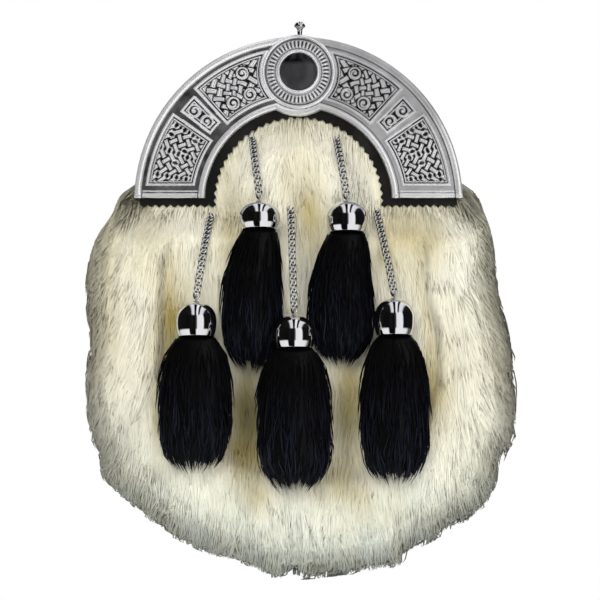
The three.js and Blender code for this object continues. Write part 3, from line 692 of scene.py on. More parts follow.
class Finishes:
    """Every finish, built once and handed out by its attribute."""

    def __init__(self) -> None:
        """Builds the materials."""
        self.cast = AntiquedCastSilver("antiqued_cast_silver").build()
        self.chrome = PolishedChrome("polished_chrome_plate").build()
        self.frame = PolishedChrome("brushed_chrome_frame", roughness=0.14).build()
        self.onyx = PolishedOnyx("polished_dark_onyx").build()
        self.leather = GrainedLeather("grained_black_cowhide").build()
        self.thread = WaxedThread("waxed_black_thread").build()
        self.fur = IvoryFur("ivory_fur").build()
        self.hair = BlackHair("dyed_black_horsehair").build()
        self.floor = PaleFloor("matt_white_floor").build()


def add_piece(
    name: str,
    skin: Skin,
    material: bpy.types.Material,
    body: str = POUCH,
    instead_of: Sequence[str] = (),
    flat: bool = False,
) -> bpy.types.Object:
    """Turns a skin into a piece of the visual model.

    Args:
        name: Name of the piece.
        skin: Its points in mm, faces and marks.
        material: Its finish.
        body: Body that it rides on.
        instead_of: Nodes of the frame that it stands for.
        flat: Whether the faces are shaded flat.

    Returns:
        The object.
    """
    mesh = bpy.data.meshes.new(name)
    mesh.vertices.add(len(skin.points))
    mesh.vertices.foreach_set("co", placed(skin.points).astype(np.float32).ravel())
    loops = np.concatenate([face.ravel() for face in skin.faces]).astype(np.int32)
    sizes = np.concatenate([np.full(len(face), face.shape[1]) for face in skin.faces])
    mesh.loops.add(len(loops))
    mesh.loops.foreach_set("vertex_index", loops)
    mesh.polygons.add(len(sizes))
    mesh.polygons.foreach_set("loop_start", np.concatenate([[0], np.cumsum(sizes)[:-1]]).astype(np.int32))
    mesh.polygons.foreach_set("use_smooth", np.full(len(sizes), not flat))
    mesh.update(calc_edges=True)
    mesh.validate()
    for mark, values in skin.marks.items():
        kind, key = ("FLOAT", "value") if values.ndim == 1 else ("FLOAT_VECTOR", "vector")
        mesh.attributes.new(mark, kind, "POINT").data.foreach_set(key, values.astype(np.float32).ravel())
    mesh.materials.append(material)
    piece = bpy.data.objects.new(name, mesh)
    bpy.context.scene.collection.objects.link(piece)
    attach(piece, body)
    if instead_of:
        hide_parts(*instead_of)
    triangles = int((sizes - 2).sum())
    LOG.info("%s: %d triangles on %s", name, triangles, body)
    return piece


def bevelled(piece: bpy.types.Object, width_mm: float, segments: int = 2) -> None:
    """Rounds a piece's sharp edges by a width in mm."""
    bevel = piece.modifiers.new("rounded_edges", "BEVEL")
    bevel.width, bevel.segments, bevel.limit_method, bevel.angle_limit = width_mm * MM, segments, "ANGLE", 0.6


# Cantle

CANTLE_BACK_Y = -14.7
BOSS_Z = 58.0
STONE_R = 8.2
CATCH_X = 0.6
CATCH_Y = -4.6


def strand_height(off: Array, width: float) -> Array:
    """Section of a raised strand: one less the cube of the share of its half width, with a groove on its middle."""
    groove = 0.5 * np.exp(-((off / (0.11 * width)) ** 2))
    return ridge(off, width / 2, 3.0) * (1 - groove)


def interlace(x: Array, z: Array, pitch: float, width: float, groove: float, broken: bool = True) -> Array:
    """Height of two crossing families of strands, each over and under in turn.

    The strands follow the lines where (x + z) / √2 and (x - z) / √2 are whole multiples of pitch / √2. A crossing
    whose two line numbers add up evenly has the first family on top. At some crossings the strands turn away from
    each other instead, along the hyperbola where the product of the two distances is constant.

    Args:
        x: Places along the panel, in mm.
        z: Places across the panel, in mm.
        pitch: Distance between crossings, in mm.
        width: Width of a strand, in mm.
        groove: Gap beside a strand that passes over, in mm.
        broken: Whether strands turn away from each other at some crossings.

    Returns:
        Heights between 0 and 1.
    """
    step = pitch / math.sqrt(2)
    p, q = (x + z) / math.sqrt(2), (x - z) / math.sqrt(2)
    i, j = np.rint(p / step), np.rint(q / step)
    dp, dq = p - i * step, q - j * step
    over = (i + j) % 2 == 0
    top, low = np.where(over, dp, dq), np.where(over, dq, dp)
    beside = np.where(np.abs(top) < width / 2 + groove, 0.0, strand_height(low, width))
    crossing = np.where(np.abs(top) < width / 2, strand_height(top, width), beside)
    sideways = (2 * i + 3 * j) % 5 == 0
    upright = (i + 4 * j) % 7 == 2
    away = np.hypot(dp, dq) + 1e-6
    reach = np.clip(1 - (away / (step * 0.5)) ** 2, 0, 1)
    bend = (0.75 * width * reach) ** 2
    apart = np.abs(dp * dq * np.where(sideways, 1, -1) - bend) / away
    return np.where((sideways | upright) & broken, strand_height(apart, width), crossing)


def spiral(x: Array, z: Array, radius: float, turn: float) -> Array:
    """Height of a coiled strand inside a circle: ridges where radius over pitch less angle over a round is whole.

    Args:
        x: Places across from the circle's middle, in mm.
        z: Places up from it, in mm.
        radius: Radius of the circle, in mm.
        turn: Angle that the coil starts from.

    Returns:
        Heights between 0 and 1.
    """
    away, angle = np.hypot(x, z), np.arctan2(z, x)
    pitch = 1.75
    wound = away / pitch - (angle + turn) / (2 * np.pi)
    coil = np.where(away < radius, ridge((wound - np.rint(wound)) * pitch, 0.55), 0)
    return np.maximum.reduce([coil, ridge(away - radius, 0.5), ridge(away, 0.8)])


@dataclass
class Cantle:
    """Cast half-round front of the frame, with its relief, boss, collar, stone and catch.

    The field and the raised lines are heights above the casting's back plane. A panel's row is its least and most
    radius, its least and most angle in degrees, and its least height. A spiral's row is the angle and radius of
    its middle, its own radius and where its coil starts.
    """

    outer: float = 73.8
    inner: float = 42.0
    boss_lip: float = 19.9
    field: float = 2.0
    raised: float = 3.1
    columns: int = 620
    rows: int = 112
    flange_back: float = -1.8
    flange_inner: float = 72.2
    frame_width: float = 1.3
    end_lift: float = 1.3
    flutes: int = 46
    end_panel: tuple[float, ...] = (47.6, 68.4, -90.0, 34.6, 6.6)
    small_panel: tuple[float, ...] = (50.2, 66.2, 37.6, 44.8, -9.0)
    upper_panel: tuple[float, ...] = (47.4, 68.6, 47.5, 200.0, -9.0)
    spirals: tuple[tuple[float, float, float, float], ...] = (
        (40.9, 54.6, 2.7, 0.5), (40.9, 61.8, 2.7, 3.6), (56.2, 52.8, 2.6, 1.0), (65.6, 52.7, 2.4, 4.0),
        (66.2, 62.7, 2.5, 2.2),
    )  # fmt: skip

    def radial_reach(self, angle: Array) -> Array:
        """Inner edge along each ray: the inner circle, or the near side of the boss lip's circle where that is less.

        The ray meets that circle at b cos φ less the root of (c² - b² sin² φ), with b the height of the boss, c
        the lip's radius and φ the angle from the vertical.

        Args:
            angle: Angles of the rays.

        Returns:
            Radii, in mm.
        """
        off = angle - np.pi / 2
        inside = self.boss_lip**2 - (BOSS_Z * np.sin(off)) ** 2
        near = BOSS_Z * np.cos(off) - np.sqrt(np.clip(inside, 0, None))
        return np.where(inside > 0, np.minimum(near, self.inner), self.inner)

    def panel(self, r: Array, angle: Array, z: Array, edges: tuple[float, ...]) -> Array:
        """How far inside a panel each place lies, in mm.

        That is the least distance to its sides, negative outside. An angle counts as its arc at the place's radius.

        Args:
            r: Radii of the places, in mm.
            angle: Their angles above the level, in degrees.
            z: Their heights, in mm.
            edges: Least and most radius, least and most angle, and least height of the panel.

        Returns:
            The distances.
        """
        r0, r1, a0, a1, low = edges
        return np.minimum.reduce([r - r0, r1 - r, np.radians(a1 - angle) * r, np.radians(angle - a0) * r, z - low])

    def frame_lines(self, inside: Array) -> Array:
        """Height of a panel's border: a ridge on the edge and a thinner line 1.5 mm further in."""
        return np.maximum(0.95 * ridge(inside, self.frame_width / 2, 4.0), 0.7 * ridge(inside - 1.45, 0.38))

    def with_spirals(self, pattern: Array, x: Array, z: Array, inside: Array) -> Array:
        """A panel's pattern with the coiled strands cut into it, each with a gap of 0.9 mm round it.

        Args:
            pattern: Heights of the panel's own pattern.
            x: Places across, on either side, in mm.
            z: Places up, in mm.
            inside: How far inside the panel each place lies, in mm.

        Returns:
            Heights between 0 and 1.
        """
        carved = np.where(inside > 2.0, pattern, 0)
        for degrees, radius, size, start in self.spirals:
            centre = math.radians(degrees)
            off_x, off_z = x - radius * math.cos(centre), z - radius * math.sin(centre)
            close = (np.hypot(off_x, off_z) < size + 0.9) & (inside > 0.8)
            carved = np.where(close, spiral(off_x, off_z, size, start), carved)
        return carved

    def relief(self, x: Array, z: Array) -> tuple[Array, Array]:
        """Height of the front above its back plane, and the dark mark.

        The field is flat. Ridges for the lip, the rim, the end bars and the borders stand on it, and interlaced
        strands and spirals fill the panels. Each is the field's height plus its own share of the rise.

        Args:
            x: Places across, in mm.
            z: Places up, in mm.

        Returns:
            Heights in mm and marks between 0 and 1.
        """
        r, turn = np.hypot(x, z), np.degrees(np.arctan2(z, x))
        angle = np.minimum(turn, 180 - turn)
        boss = np.hypot(x, z - BOSS_Z)
        rise = self.raised - self.field
        from_edge = np.maximum(r - self.inner, self.boss_lip - boss)
        lip = ridge(from_edge - 1.5, 1.75, 3.0)
        rim = ridge(self.outer - 1.5 - r, 1.7, 3.0)
        bar = ridge(z - 1.05, 1.3, 4.0) * (from_edge > 0.4)
        thin = ridge(z - 3.2, 0.45) * 0.75 * (angle < 20)
        height = self.field + rise * np.maximum.reduce([lip, rim, bar, thin])
        # Patina on the field, plus painted shade that makes it darker on the left than on the right.
        field_patina_and_shade = 0.9 - 0.42 * smoothstep(x, -20.0, 35.0)
        dark = field_patina_and_shade * (1 - smoothstep(height, self.field, self.field + 0.5))
        # A degree is about 1.02 mm long on the middle of the panels.
        along = angle * 1.02
        plait = interlace(r - 58.0, along, 4.35, 1.75, 0.45)
        wander = [1.1 * ripples(r, angle, 15, seed) for seed in (5, 9)]
        knots = interlace(along - 48.45 + wander[0], r - 58.2 + wander[1], 4.4, 2.0, 0.4, broken=False)
        for inside, pattern in (
            (self.panel(r, angle, z, self.end_panel), plait),
            (self.panel(r, angle, z, self.small_panel), 0 * r),
            (np.minimum(self.panel(r, angle, z, self.upper_panel), boss - 17.0), knots),
        ):
            within = inside > 0.62
            ground = self.field - 0.15 * within
            carved = self.with_spirals(pattern, np.abs(x), z, inside)
            local = np.maximum(np.where(within, carved, 0), np.where(inside > -0.9, self.frame_lines(inside), 0))
            touched = inside > -0.65
            height = np.where(touched, ground + rise * local, height)
            dark = np.where(within, 1 - smoothstep(local, 0.12, 0.62), np.where(touched, 0.0, dark))
        # Painted dark reflection: the upper right of the face, and its outer rim most, is darkened.
        worn_and_painted_reflection = smoothstep(x, -4.0, 16.0) * smoothstep(z, 20.0, 46.0)
        dark = np.maximum(dark, worn_and_painted_reflection * (0.3 + 0.22 * smoothstep(r, self.outer - 4.0, self.outer - 1.0)))
        hollow = (np.abs(from_edge - 3.35) < 0.35) | (np.abs(self.outer - r - 3.35) < 0.35)
        dark = np.where(hollow, np.maximum(dark, 0.85), dark)
        height = np.where(boss < 16.2, self.field - 0.4, height)
        edge_fall = smoothstep(from_edge, 0.0, 0.7)
        return height * edge_fall + 1.1 * (1 - edge_fall), np.clip(dark, 0, 1)

    def face(self) -> Skin:
        """The casting: rays from end to end of the half ring, each with its section from the lip to the flange.

        A point of a ray lies at its radius times cosine and sine of the ray's angle, and its depth is the back
        plane less the relief's height. The section closes over the rim, the flange and the back.

        Returns:
            The skin, in mm.
        """
        angle = np.linspace(0, np.pi, self.columns)
        low = self.radial_reach(angle)
        r = low + (self.outer - low) * np.linspace(0, 1, self.rows)[:, None]
        height, dark = self.relief(r * np.cos(angle), r * np.sin(angle))
        section = (
            (self.outer, CANTLE_BACK_Y + 0.4), (self.outer, self.flange_back - 0.3),
            (self.outer - 0.3, self.flange_back), (self.flange_inner, self.flange_back),
            (self.flange_inner, CANTLE_BACK_Y), (low, CANTLE_BACK_Y),
        )  # fmt: skip
        closing = [turned(radius, y, angle) for radius, y in section]
        rings = np.concatenate([turned(r, CANTLE_BACK_Y - height, angle), np.stack(closing)])
        rings[..., 2] += self.end_lift * (1 - smoothstep(rings[..., 2], 0.0, 14.0))
        marks = np.concatenate([dark, np.full((len(closing), len(angle)), 0.12)])
        return capped(rings.transpose(1, 0, 2), {"recess": marks.T})

    def boss(self) -> Skin:
        """Round boss: a ring, a fluted band and a bezel, as a turned profile with waves round its middle band.

        Returns:
            The skin, in mm.
        """
        rows = np.array(
            [
                (16.9, 1.4), (16.6, 2.5), (16.1, 2.95), (15.5, 2.95), (15.1, 2.45), (14.7, 2.0), (14.4, 2.05),
                (14.1, 2.6), (13.6, 3.15), (13.0, 3.5), (12.3, 3.7), (11.6, 3.7), (11.1, 3.4), (10.75, 2.7),
                (10.5, 2.2), (10.25, 2.5), (10.0, 3.6), (9.6, 4.4), (9.1, 4.75), (8.7, 4.7), (8.45, 4.3), (8.4, 2.7),
            ]
        )  # fmt: skip
        turn = all_round(self.flutes * 11)
        fluted = np.interp(rows[:, 0], [10.7, 11.2, 13.9, 14.3], [0, 1, 1, 0])[:, None]
        valley = fluted * (1 - (0.5 + 0.5 * np.cos(self.flutes * turn)) ** 0.6)
        rings = turned(rows[:, :1], CANTLE_BACK_Y - rows[:, 1:] + 0.95 * valley, turn)
        sunk = np.interp(rows[:, 0], [10.3, 10.5, 10.8, 14.3, 14.5, 15.0, 15.3], [0, 1, 0, 0, 1, 1, 0])[:, None]
        return capped(rings, {"recess": np.clip(sunk + 1.1 * valley, 0, 1)}).moved(z=BOSS_Z)

    def collar(self) -> Skin:
        """Ring on the rim round the catch, as a turned tube whose section closes on itself.

        Returns:
            The skin, in mm.
        """
        section = np.array([(1.65, 72.7), (1.65, 75.1), (1.9, 75.3), (2.5, 75.3), (2.7, 75.0), (2.7, 72.7)])
        rings = turned(section[:, :1], section[:, 1:], all_round(40))[..., [0, 2, 1]]
        return looped(rings).moved(CATCH_X, CATCH_Y)

    def stone(self) -> Skin:
        """Flat-domed stone: a turned profile that falls off as the fourth power of the way out.

        Returns:
            The skin, in mm.
        """
        out = np.linspace(0.02, 1, 24)
        dome = np.stack([out * STONE_R, 4.6 + 1.4 * (1 - out**4)], axis=-1)
        profile = np.concatenate([dome, [(8.25, 4.2), (8.1, 2.9), (0.1, 2.9)]])
        profile[:, 1] = CANTLE_BACK_Y - profile[:, 1]
        return lathe(profile, 72, "y").moved(z=BOSS_Z)

    def knob(self) -> Skin:
        """Press catch: a slim stem that widens under a mushroom head, turned about its own line.

        Returns:
            The skin, in mm.
        """
        profile = np.array(
            [
                (0.05, 68.6), (1.1, 68.6), (1.3, 68.8), (1.3, 70.2), (1.1, 70.6), (1.0, 74.0), (1.0, 76.0),
                (1.15, 77.6), (1.4, 78.8), (1.9, 79.3), (2.45, 79.6), (2.6, 79.95), (2.55, 80.4), (2.2, 81.1),
                (1.6, 81.7), (0.9, 82.1), (0.05, 82.2),
            ]
        )  # fmt: skip
        return lathe(profile, 36).moved(CATCH_X, CATCH_Y)

    def dress(self, finishes: Finishes) -> None:
        """Adds the cantle's pieces.

        Args:
            finishes: The finishes to take.
        """
        casting = together([self.face(), self.boss(), self.collar()])
        add_piece("cantle_casting", casting, finishes.cast, instead_of=["cantle"])
        add_piece("onyx", self.stone(), finishes.onyx, instead_of=["cantle_stone"])
        add_piece("press_catch", self.knob(), finishes.chrome, body=CATCH, instead_of=["catch_knob"])


@dataclass
class RearFrame:
    """Plain back half of the frame, and the two hinge barrels at its ends."""

    outer: float = 73.8
    inner: float = 63.0
    back: float = 7.3
    thick: float = 1.5

    def band(self) -> Skin:
        """Half ring whose section, a flange and an inward lip with rounded corners, is carried over the arch.

        Returns:
            The skin, in mm.
        """
        near, far = -1.2, self.back + self.thick
        section = np.array(
            [
                (72.3, near), (73.5, near), (self.outer, near + 0.3), (self.outer, far - 0.5), (73.3, far),
                (self.inner + 0.3, far), (self.inner, far - 0.3), (self.inner, self.back + 0.3),
                (self.inner + 0.3, self.back), (72.2, self.back),
            ]
        )  # fmt: skip
        return capped(turned(section[:, 0], section[:, 1], np.linspace(0, np.pi, 121)[:, None]))

    def barrel(self, side: int) -> Skin:
        """Hinge barrel of three knuckles with a peened pin, turned about its own line.

        Args:
            side: -1 for the left one, 1 for the right one.

        Returns:
            The skin, in mm.
        """
        x = np.array([-2.5, -2.5, -2.3, -0.95, -0.8, -0.65, 0.65, 0.8, 0.95, 2.3, 2.5, 2.5])
        r = np.array([0.3, 1.9, 2.2, 2.2, 1.8, 2.2, 2.2, 1.8, 2.2, 2.2, 1.9, 0.3])
        return lathe(np.stack([r, x], axis=-1), 28, "x").moved(side * 76.1, -1.5, -2.7)

    def dress(self, finishes: Finishes) -> None:
        """Adds the rear frame's pieces.

        Args:
            finishes: The finishes to take.
        """
        band = add_piece("rear_band", self.band(), finishes.frame, instead_of=["rear_frame"], flat=True)
        bevelled(band, 0.2)
        for side, word in ((-1, "left"), (1, "right")):
            name, node = f"hinge_barrel_{word}", f"frame_hinge_{word}"
            add_piece(name, self.barrel(side), finishes.frame, instead_of=[node])


# Pouch and leather

MIDDLE_Z = -42.0


def closed_outline(arch_r: float, sides: Sequence[tuple[float, float]], count: int) -> Array:
    """Outline seen from the front: an arch and a smooth line through the side rows, at equal distances.

    Args:
        arch_r: Radius of the arch.
        sides: Rows of height and half width below the arch.
        count: Number of points.

    Returns:
        Rows of x and z, from the right end of the arch round over the top.
    """
    angle = np.linspace(0, np.pi, 15)
    arch = np.stack([arch_r * np.cos(angle), arch_r * np.sin(angle)], axis=-1)
    right = np.array(sides)[:, ::-1]
    return smooth_line(np.concatenate([arch, right * (-1, 1), right[::-1]]), count, closed=True)


@dataclass
class PouchBody:
    """Leather pouch behind the fur: back and front panels sewn to a gusset, open at the top under the frame."""

    front: float = -8.0
    back: float = 7.0
    wall: float = 2.0
    arch: float = 70.3
    swell: float = 8.5
    sides: tuple[tuple[float, float], ...] = (
        (-4, 71.2), (-20, 78), (-48, 83), (-85, 85), (-112, 81), (-133, 66), (-147, 42), (-153.5, 16),
    )  # fmt: skip

    def belly(self, share: float, z: Array) -> Array:
        """How far the front swells: 8.5 mm times one less the share to the eighth, growing from z 25 to z -60."""
        return self.swell * (1 - share**8) * smoothstep(25 - z, 0, 85)

    def outline(self, count: int = 150) -> Array:
        """The pouch's outline seen from the front."""
        return closed_outline(self.arch, self.sides, count)

    def ring(self, outline: Array, share: float, y: Callable[[float, Array], Array]) -> Array:
        """Outline drawn in toward the middle to a share, at the depth that y gives."""
        x, z = outline[:, 0] * share, MIDDLE_Z + (outline[:, 1] - MIDDLE_Z) * share
        return np.stack([x, y(share, z), z], axis=-1)

    def panel(self, rows: Sequence[tuple[float, Callable[[float, Array], Array]]]) -> Skin:
        """Closed panel through rings of a share of the outline and a depth."""
        outline = self.outline()
        return capped(np.stack([self.ring(outline, share, y) for share, y in rows]))

    def back_panel(self) -> Skin:
        """Flat back, 2 mm thick, with a rounded edge.

        Returns:
            The skin, in mm.
        """
        far, near = self.back, self.back - self.wall
        rows = [(0.1, far), (0.5, far), (0.9, far), (0.97, far), (0.985, far - 0.2), (0.995, far - 0.7)]
        rows += [(0.995, near + 0.5), (0.985, near), (0.9, near), (0.1, near)]
        return self.panel([(share, lambda s, z, y=y: y + 0 * z) for share, y in rows])

    def front_panel(self) -> Skin:
        """Swollen front, 2 mm thick, with a rounded edge.

        Returns:
            The skin, in mm.
        """
        shares = np.array([0.05, 0.25, 0.45, 0.62, 0.78, 0.88, 0.95, 0.98])
        outer = [(s, lambda s, z: self.front - self.belly(s, z)) for s in shares]
        edge = [(0.995, lambda s, z: self.front + 0.6 + 0 * z), (0.985, lambda s, z: self.front + 2.0 + 0 * z)]
        inner = [(s, lambda s, z: self.front + self.wall - self.belly(s, z)) for s in shares[-2::-1]]
        return self.panel(outer + edge + inner)

    def gusset(self) -> Skin:
        """Band between the panels, round the sides and the bottom, from one end of the frame to the other.

        Returns:
            The skin, in mm.
        """
        outline = self.outline()
        path = self.ring(outline[outline[:, 1] < 1.0], 0.985, lambda s, z: 0 * z)
        wide, thick = (self.back - self.front - 2 * self.wall) / 2 - 0.05, self.wall / 2
        section = np.array([(-wide, -thick), (wide, -thick), (wide, thick), (-wide, thick)])
        out = np.cross(unit(np.gradient(path, axis=0)), BACKWARD)
        rings = path[:, None] + section[None, :, :1] * BACKWARD + section[None, :, 1:] * out[:, None]
        return capped(rings).moved(y=(self.back + self.front) / 2)

    def seam(self) -> Skin:
        """Stitches round the back panel, 4.5 mm inside its edge.

        Returns:
            The skin, in mm.
        """
        ring = self.ring(self.outline(128), 0.945, lambda s, z: self.back + 0 * z)
        along = unit(np.roll(ring, -1, axis=0) - np.roll(ring, 1, axis=0))
        keep = ring[:, 2] < 55
        return stitches(ring[keep], along[keep], np.broadcast_to(BACKWARD, (keep.sum(), 3)), 3.2, 0.42)

    def dress(self, finishes: Finishes) -> None:
        """Adds the pouch's pieces.

        Args:
            finishes: The finishes to take.
        """
        leather, node = finishes.leather, ["pouch_body"]
        add_piece("pouch_back", self.back_panel(), leather, instead_of=node)
        add_piece("pouch_front", self.front_panel(), leather, instead_of=node)
        gusset = add_piece("pouch_gusset", self.gusset(), leather, instead_of=node, flat=True)
        bevelled(gusset, 0.4)
        add_piece("pouch_seam", self.seam(), finishes.thread)


@dataclass
class PinkedLeather:
    """Leather that the cantle is mounted on, with its edges pinked into teeth."""

    outer: float = 71.5
    inner: float = 37.1
    bottom: float = -2.8
    back: float = -12.8
    thick: float = 1.6
    pitch: float = 3.6
    depth: float = 1.3

    def plate(self) -> Skin:
        """Half ring in rows from the inner to the outer edge, with teeth on the inner row and on both ends.

        The columns run down the left foot, over the arch and down the right foot. Every second point of an edge
        stands in by the teeth's depth.

        Returns:
            The skin, in mm.
        """
        teeth = round(math.pi * self.inner / self.pitch) * 2 + 1
        across = round((self.outer - self.inner) / self.pitch) * 2 + 1
        angle = np.linspace(np.pi, 0, teeth)[None, :]
        share = np.linspace(0, 1, across)[:, None]
        r = self.inner + (self.outer - self.inner) * share
        x, z = r * np.cos(angle), r * np.sin(angle)
        tooth = np.where(np.arange(teeth) % 2, 0.0, self.depth)
        x[0] += tooth * np.cos(angle[0])
        z[0] += tooth * np.sin(angle[0])
        foot = np.where(np.arange(across) % 2, 0.0, self.depth)
        z[:, [0, -1]] += 0.4
        ends = (self.bottom + foot)[:, None]
        x = np.concatenate([-r, x, r], axis=1)
        z = np.concatenate([ends, z, ends], axis=1)
        front = np.stack([x, np.full_like(x, self.back - self.thick), z], axis=-1)
        rear = front + self.thick * BACKWARD
        rows, cols = x.shape
        points = np.concatenate([front.reshape(-1, 3), rear.reshape(-1, 3)])
        size = rows * cols
        index = np.arange(size).reshape(rows, cols)
        loop = np.concatenate([index[0], index[1:, -1], index[-1, -2::-1], index[-2:0:-1, 0]])
        after = np.roll(loop, -1)
        walls = np.stack([loop, loop + size, after + size, after], axis=-1)
        faces = grid_faces(rows, cols)
        return Skin(points, [faces, faces[:, ::-1] + size, walls]).outward()

    def dress(self, finishes: Finishes) -> None:
        """Adds the pinked leather.

        Args:
            finishes: The finishes to take.
        """
        piece = add_piece(
            "pinked_leather", self.plate(), finishes.leather, instead_of=["cantle_leather"], flat=True
        )
        bevelled(piece, 0.25)


@dataclass
class StrapLoop:
    """Leather loop on the back that the strap runs through."""

    side: int
    x: float = 40.0
    width: float = 22.0
    thick: float = 2.0

    def strip(self) -> Skin:
        """Strip along a line with flat feet and a raised middle, with a rounded section.

        Returns:
            The skin, in mm.
        """
        near, far = 8.3, 15.3
        knots = np.array(
            [
                (near, 28), (near, 24), (near, 20.5), (9.6, 18.6), (13.2, 18.0), (far, 15.8), (far, 10), (far, 3),
                (far, -4), (far, -9.8), (13.2, -12.0), (9.6, -12.6), (near, -14.5), (near, -18), (near, -22),
            ]
        )  # fmt: skip
        line = smooth_line(knots, 72)
        path = np.stack([0 * line[:, 0], line[:, 0], line[:, 1]], axis=-1)
        half, deep, r = self.width / 2, self.thick / 2, 0.55
        corner = np.linspace(0, np.pi / 2, 4)
        quarter = np.stack([half - r + r * np.cos(corner), deep - r + r * np.sin(corner)], axis=-1)
        signs = [(1, 1), (-1, 1), (-1, -1), (1, -1)]
        corners = [quarter[:: sx * sz] * (sx, sz) for sx, sz in signs]
        return swept(path, np.concatenate(corners), BACKWARD).moved(x=self.side * self.x)

    def sewing(self) -> Skin:
        """A box of stitches on each foot.

        Returns:
            The skin, in mm.
        """
        edge = np.linspace(-8.5, 8.5, 6)
        rows = []
        for z in (26.2, 21.4, -15.4, -20.2):
            rows += [(x, z, 1.0, 0.0) for x in edge]
        for z in (23.8, -17.8):
            rows += [(x, z, 0.0, 1.0) for x in (-9.4, 9.4)]
        table = np.array(rows)
        places = np.stack([table[:, 0] + self.side * self.x, np.full(len(table), 9.3), table[:, 1]], axis=-1)
        along = np.stack([table[:, 2], 0 * table[:, 0], table[:, 3]], axis=-1)
        return stitches(places, along, np.broadcast_to(BACKWARD, places.shape), 2.6, 0.4)

    def dress(self, finishes: Finishes) -> None:
        """Adds the loop and its sewing.

        Args:
            finishes: The finishes to take.
        """
        word = "left" if self.side < 0 else "right"
        add_piece(
            f"strap_loop_{word}", self.strip(), finishes.leather, instead_of=[f"belt_loop_{word}"]
        )
        add_piece(f"loop_sewing_{word}", self.sewing(), finishes.thread)


# Tassels

STATIONS = np.array([0.0, 0.36, 0.7, 1.0])


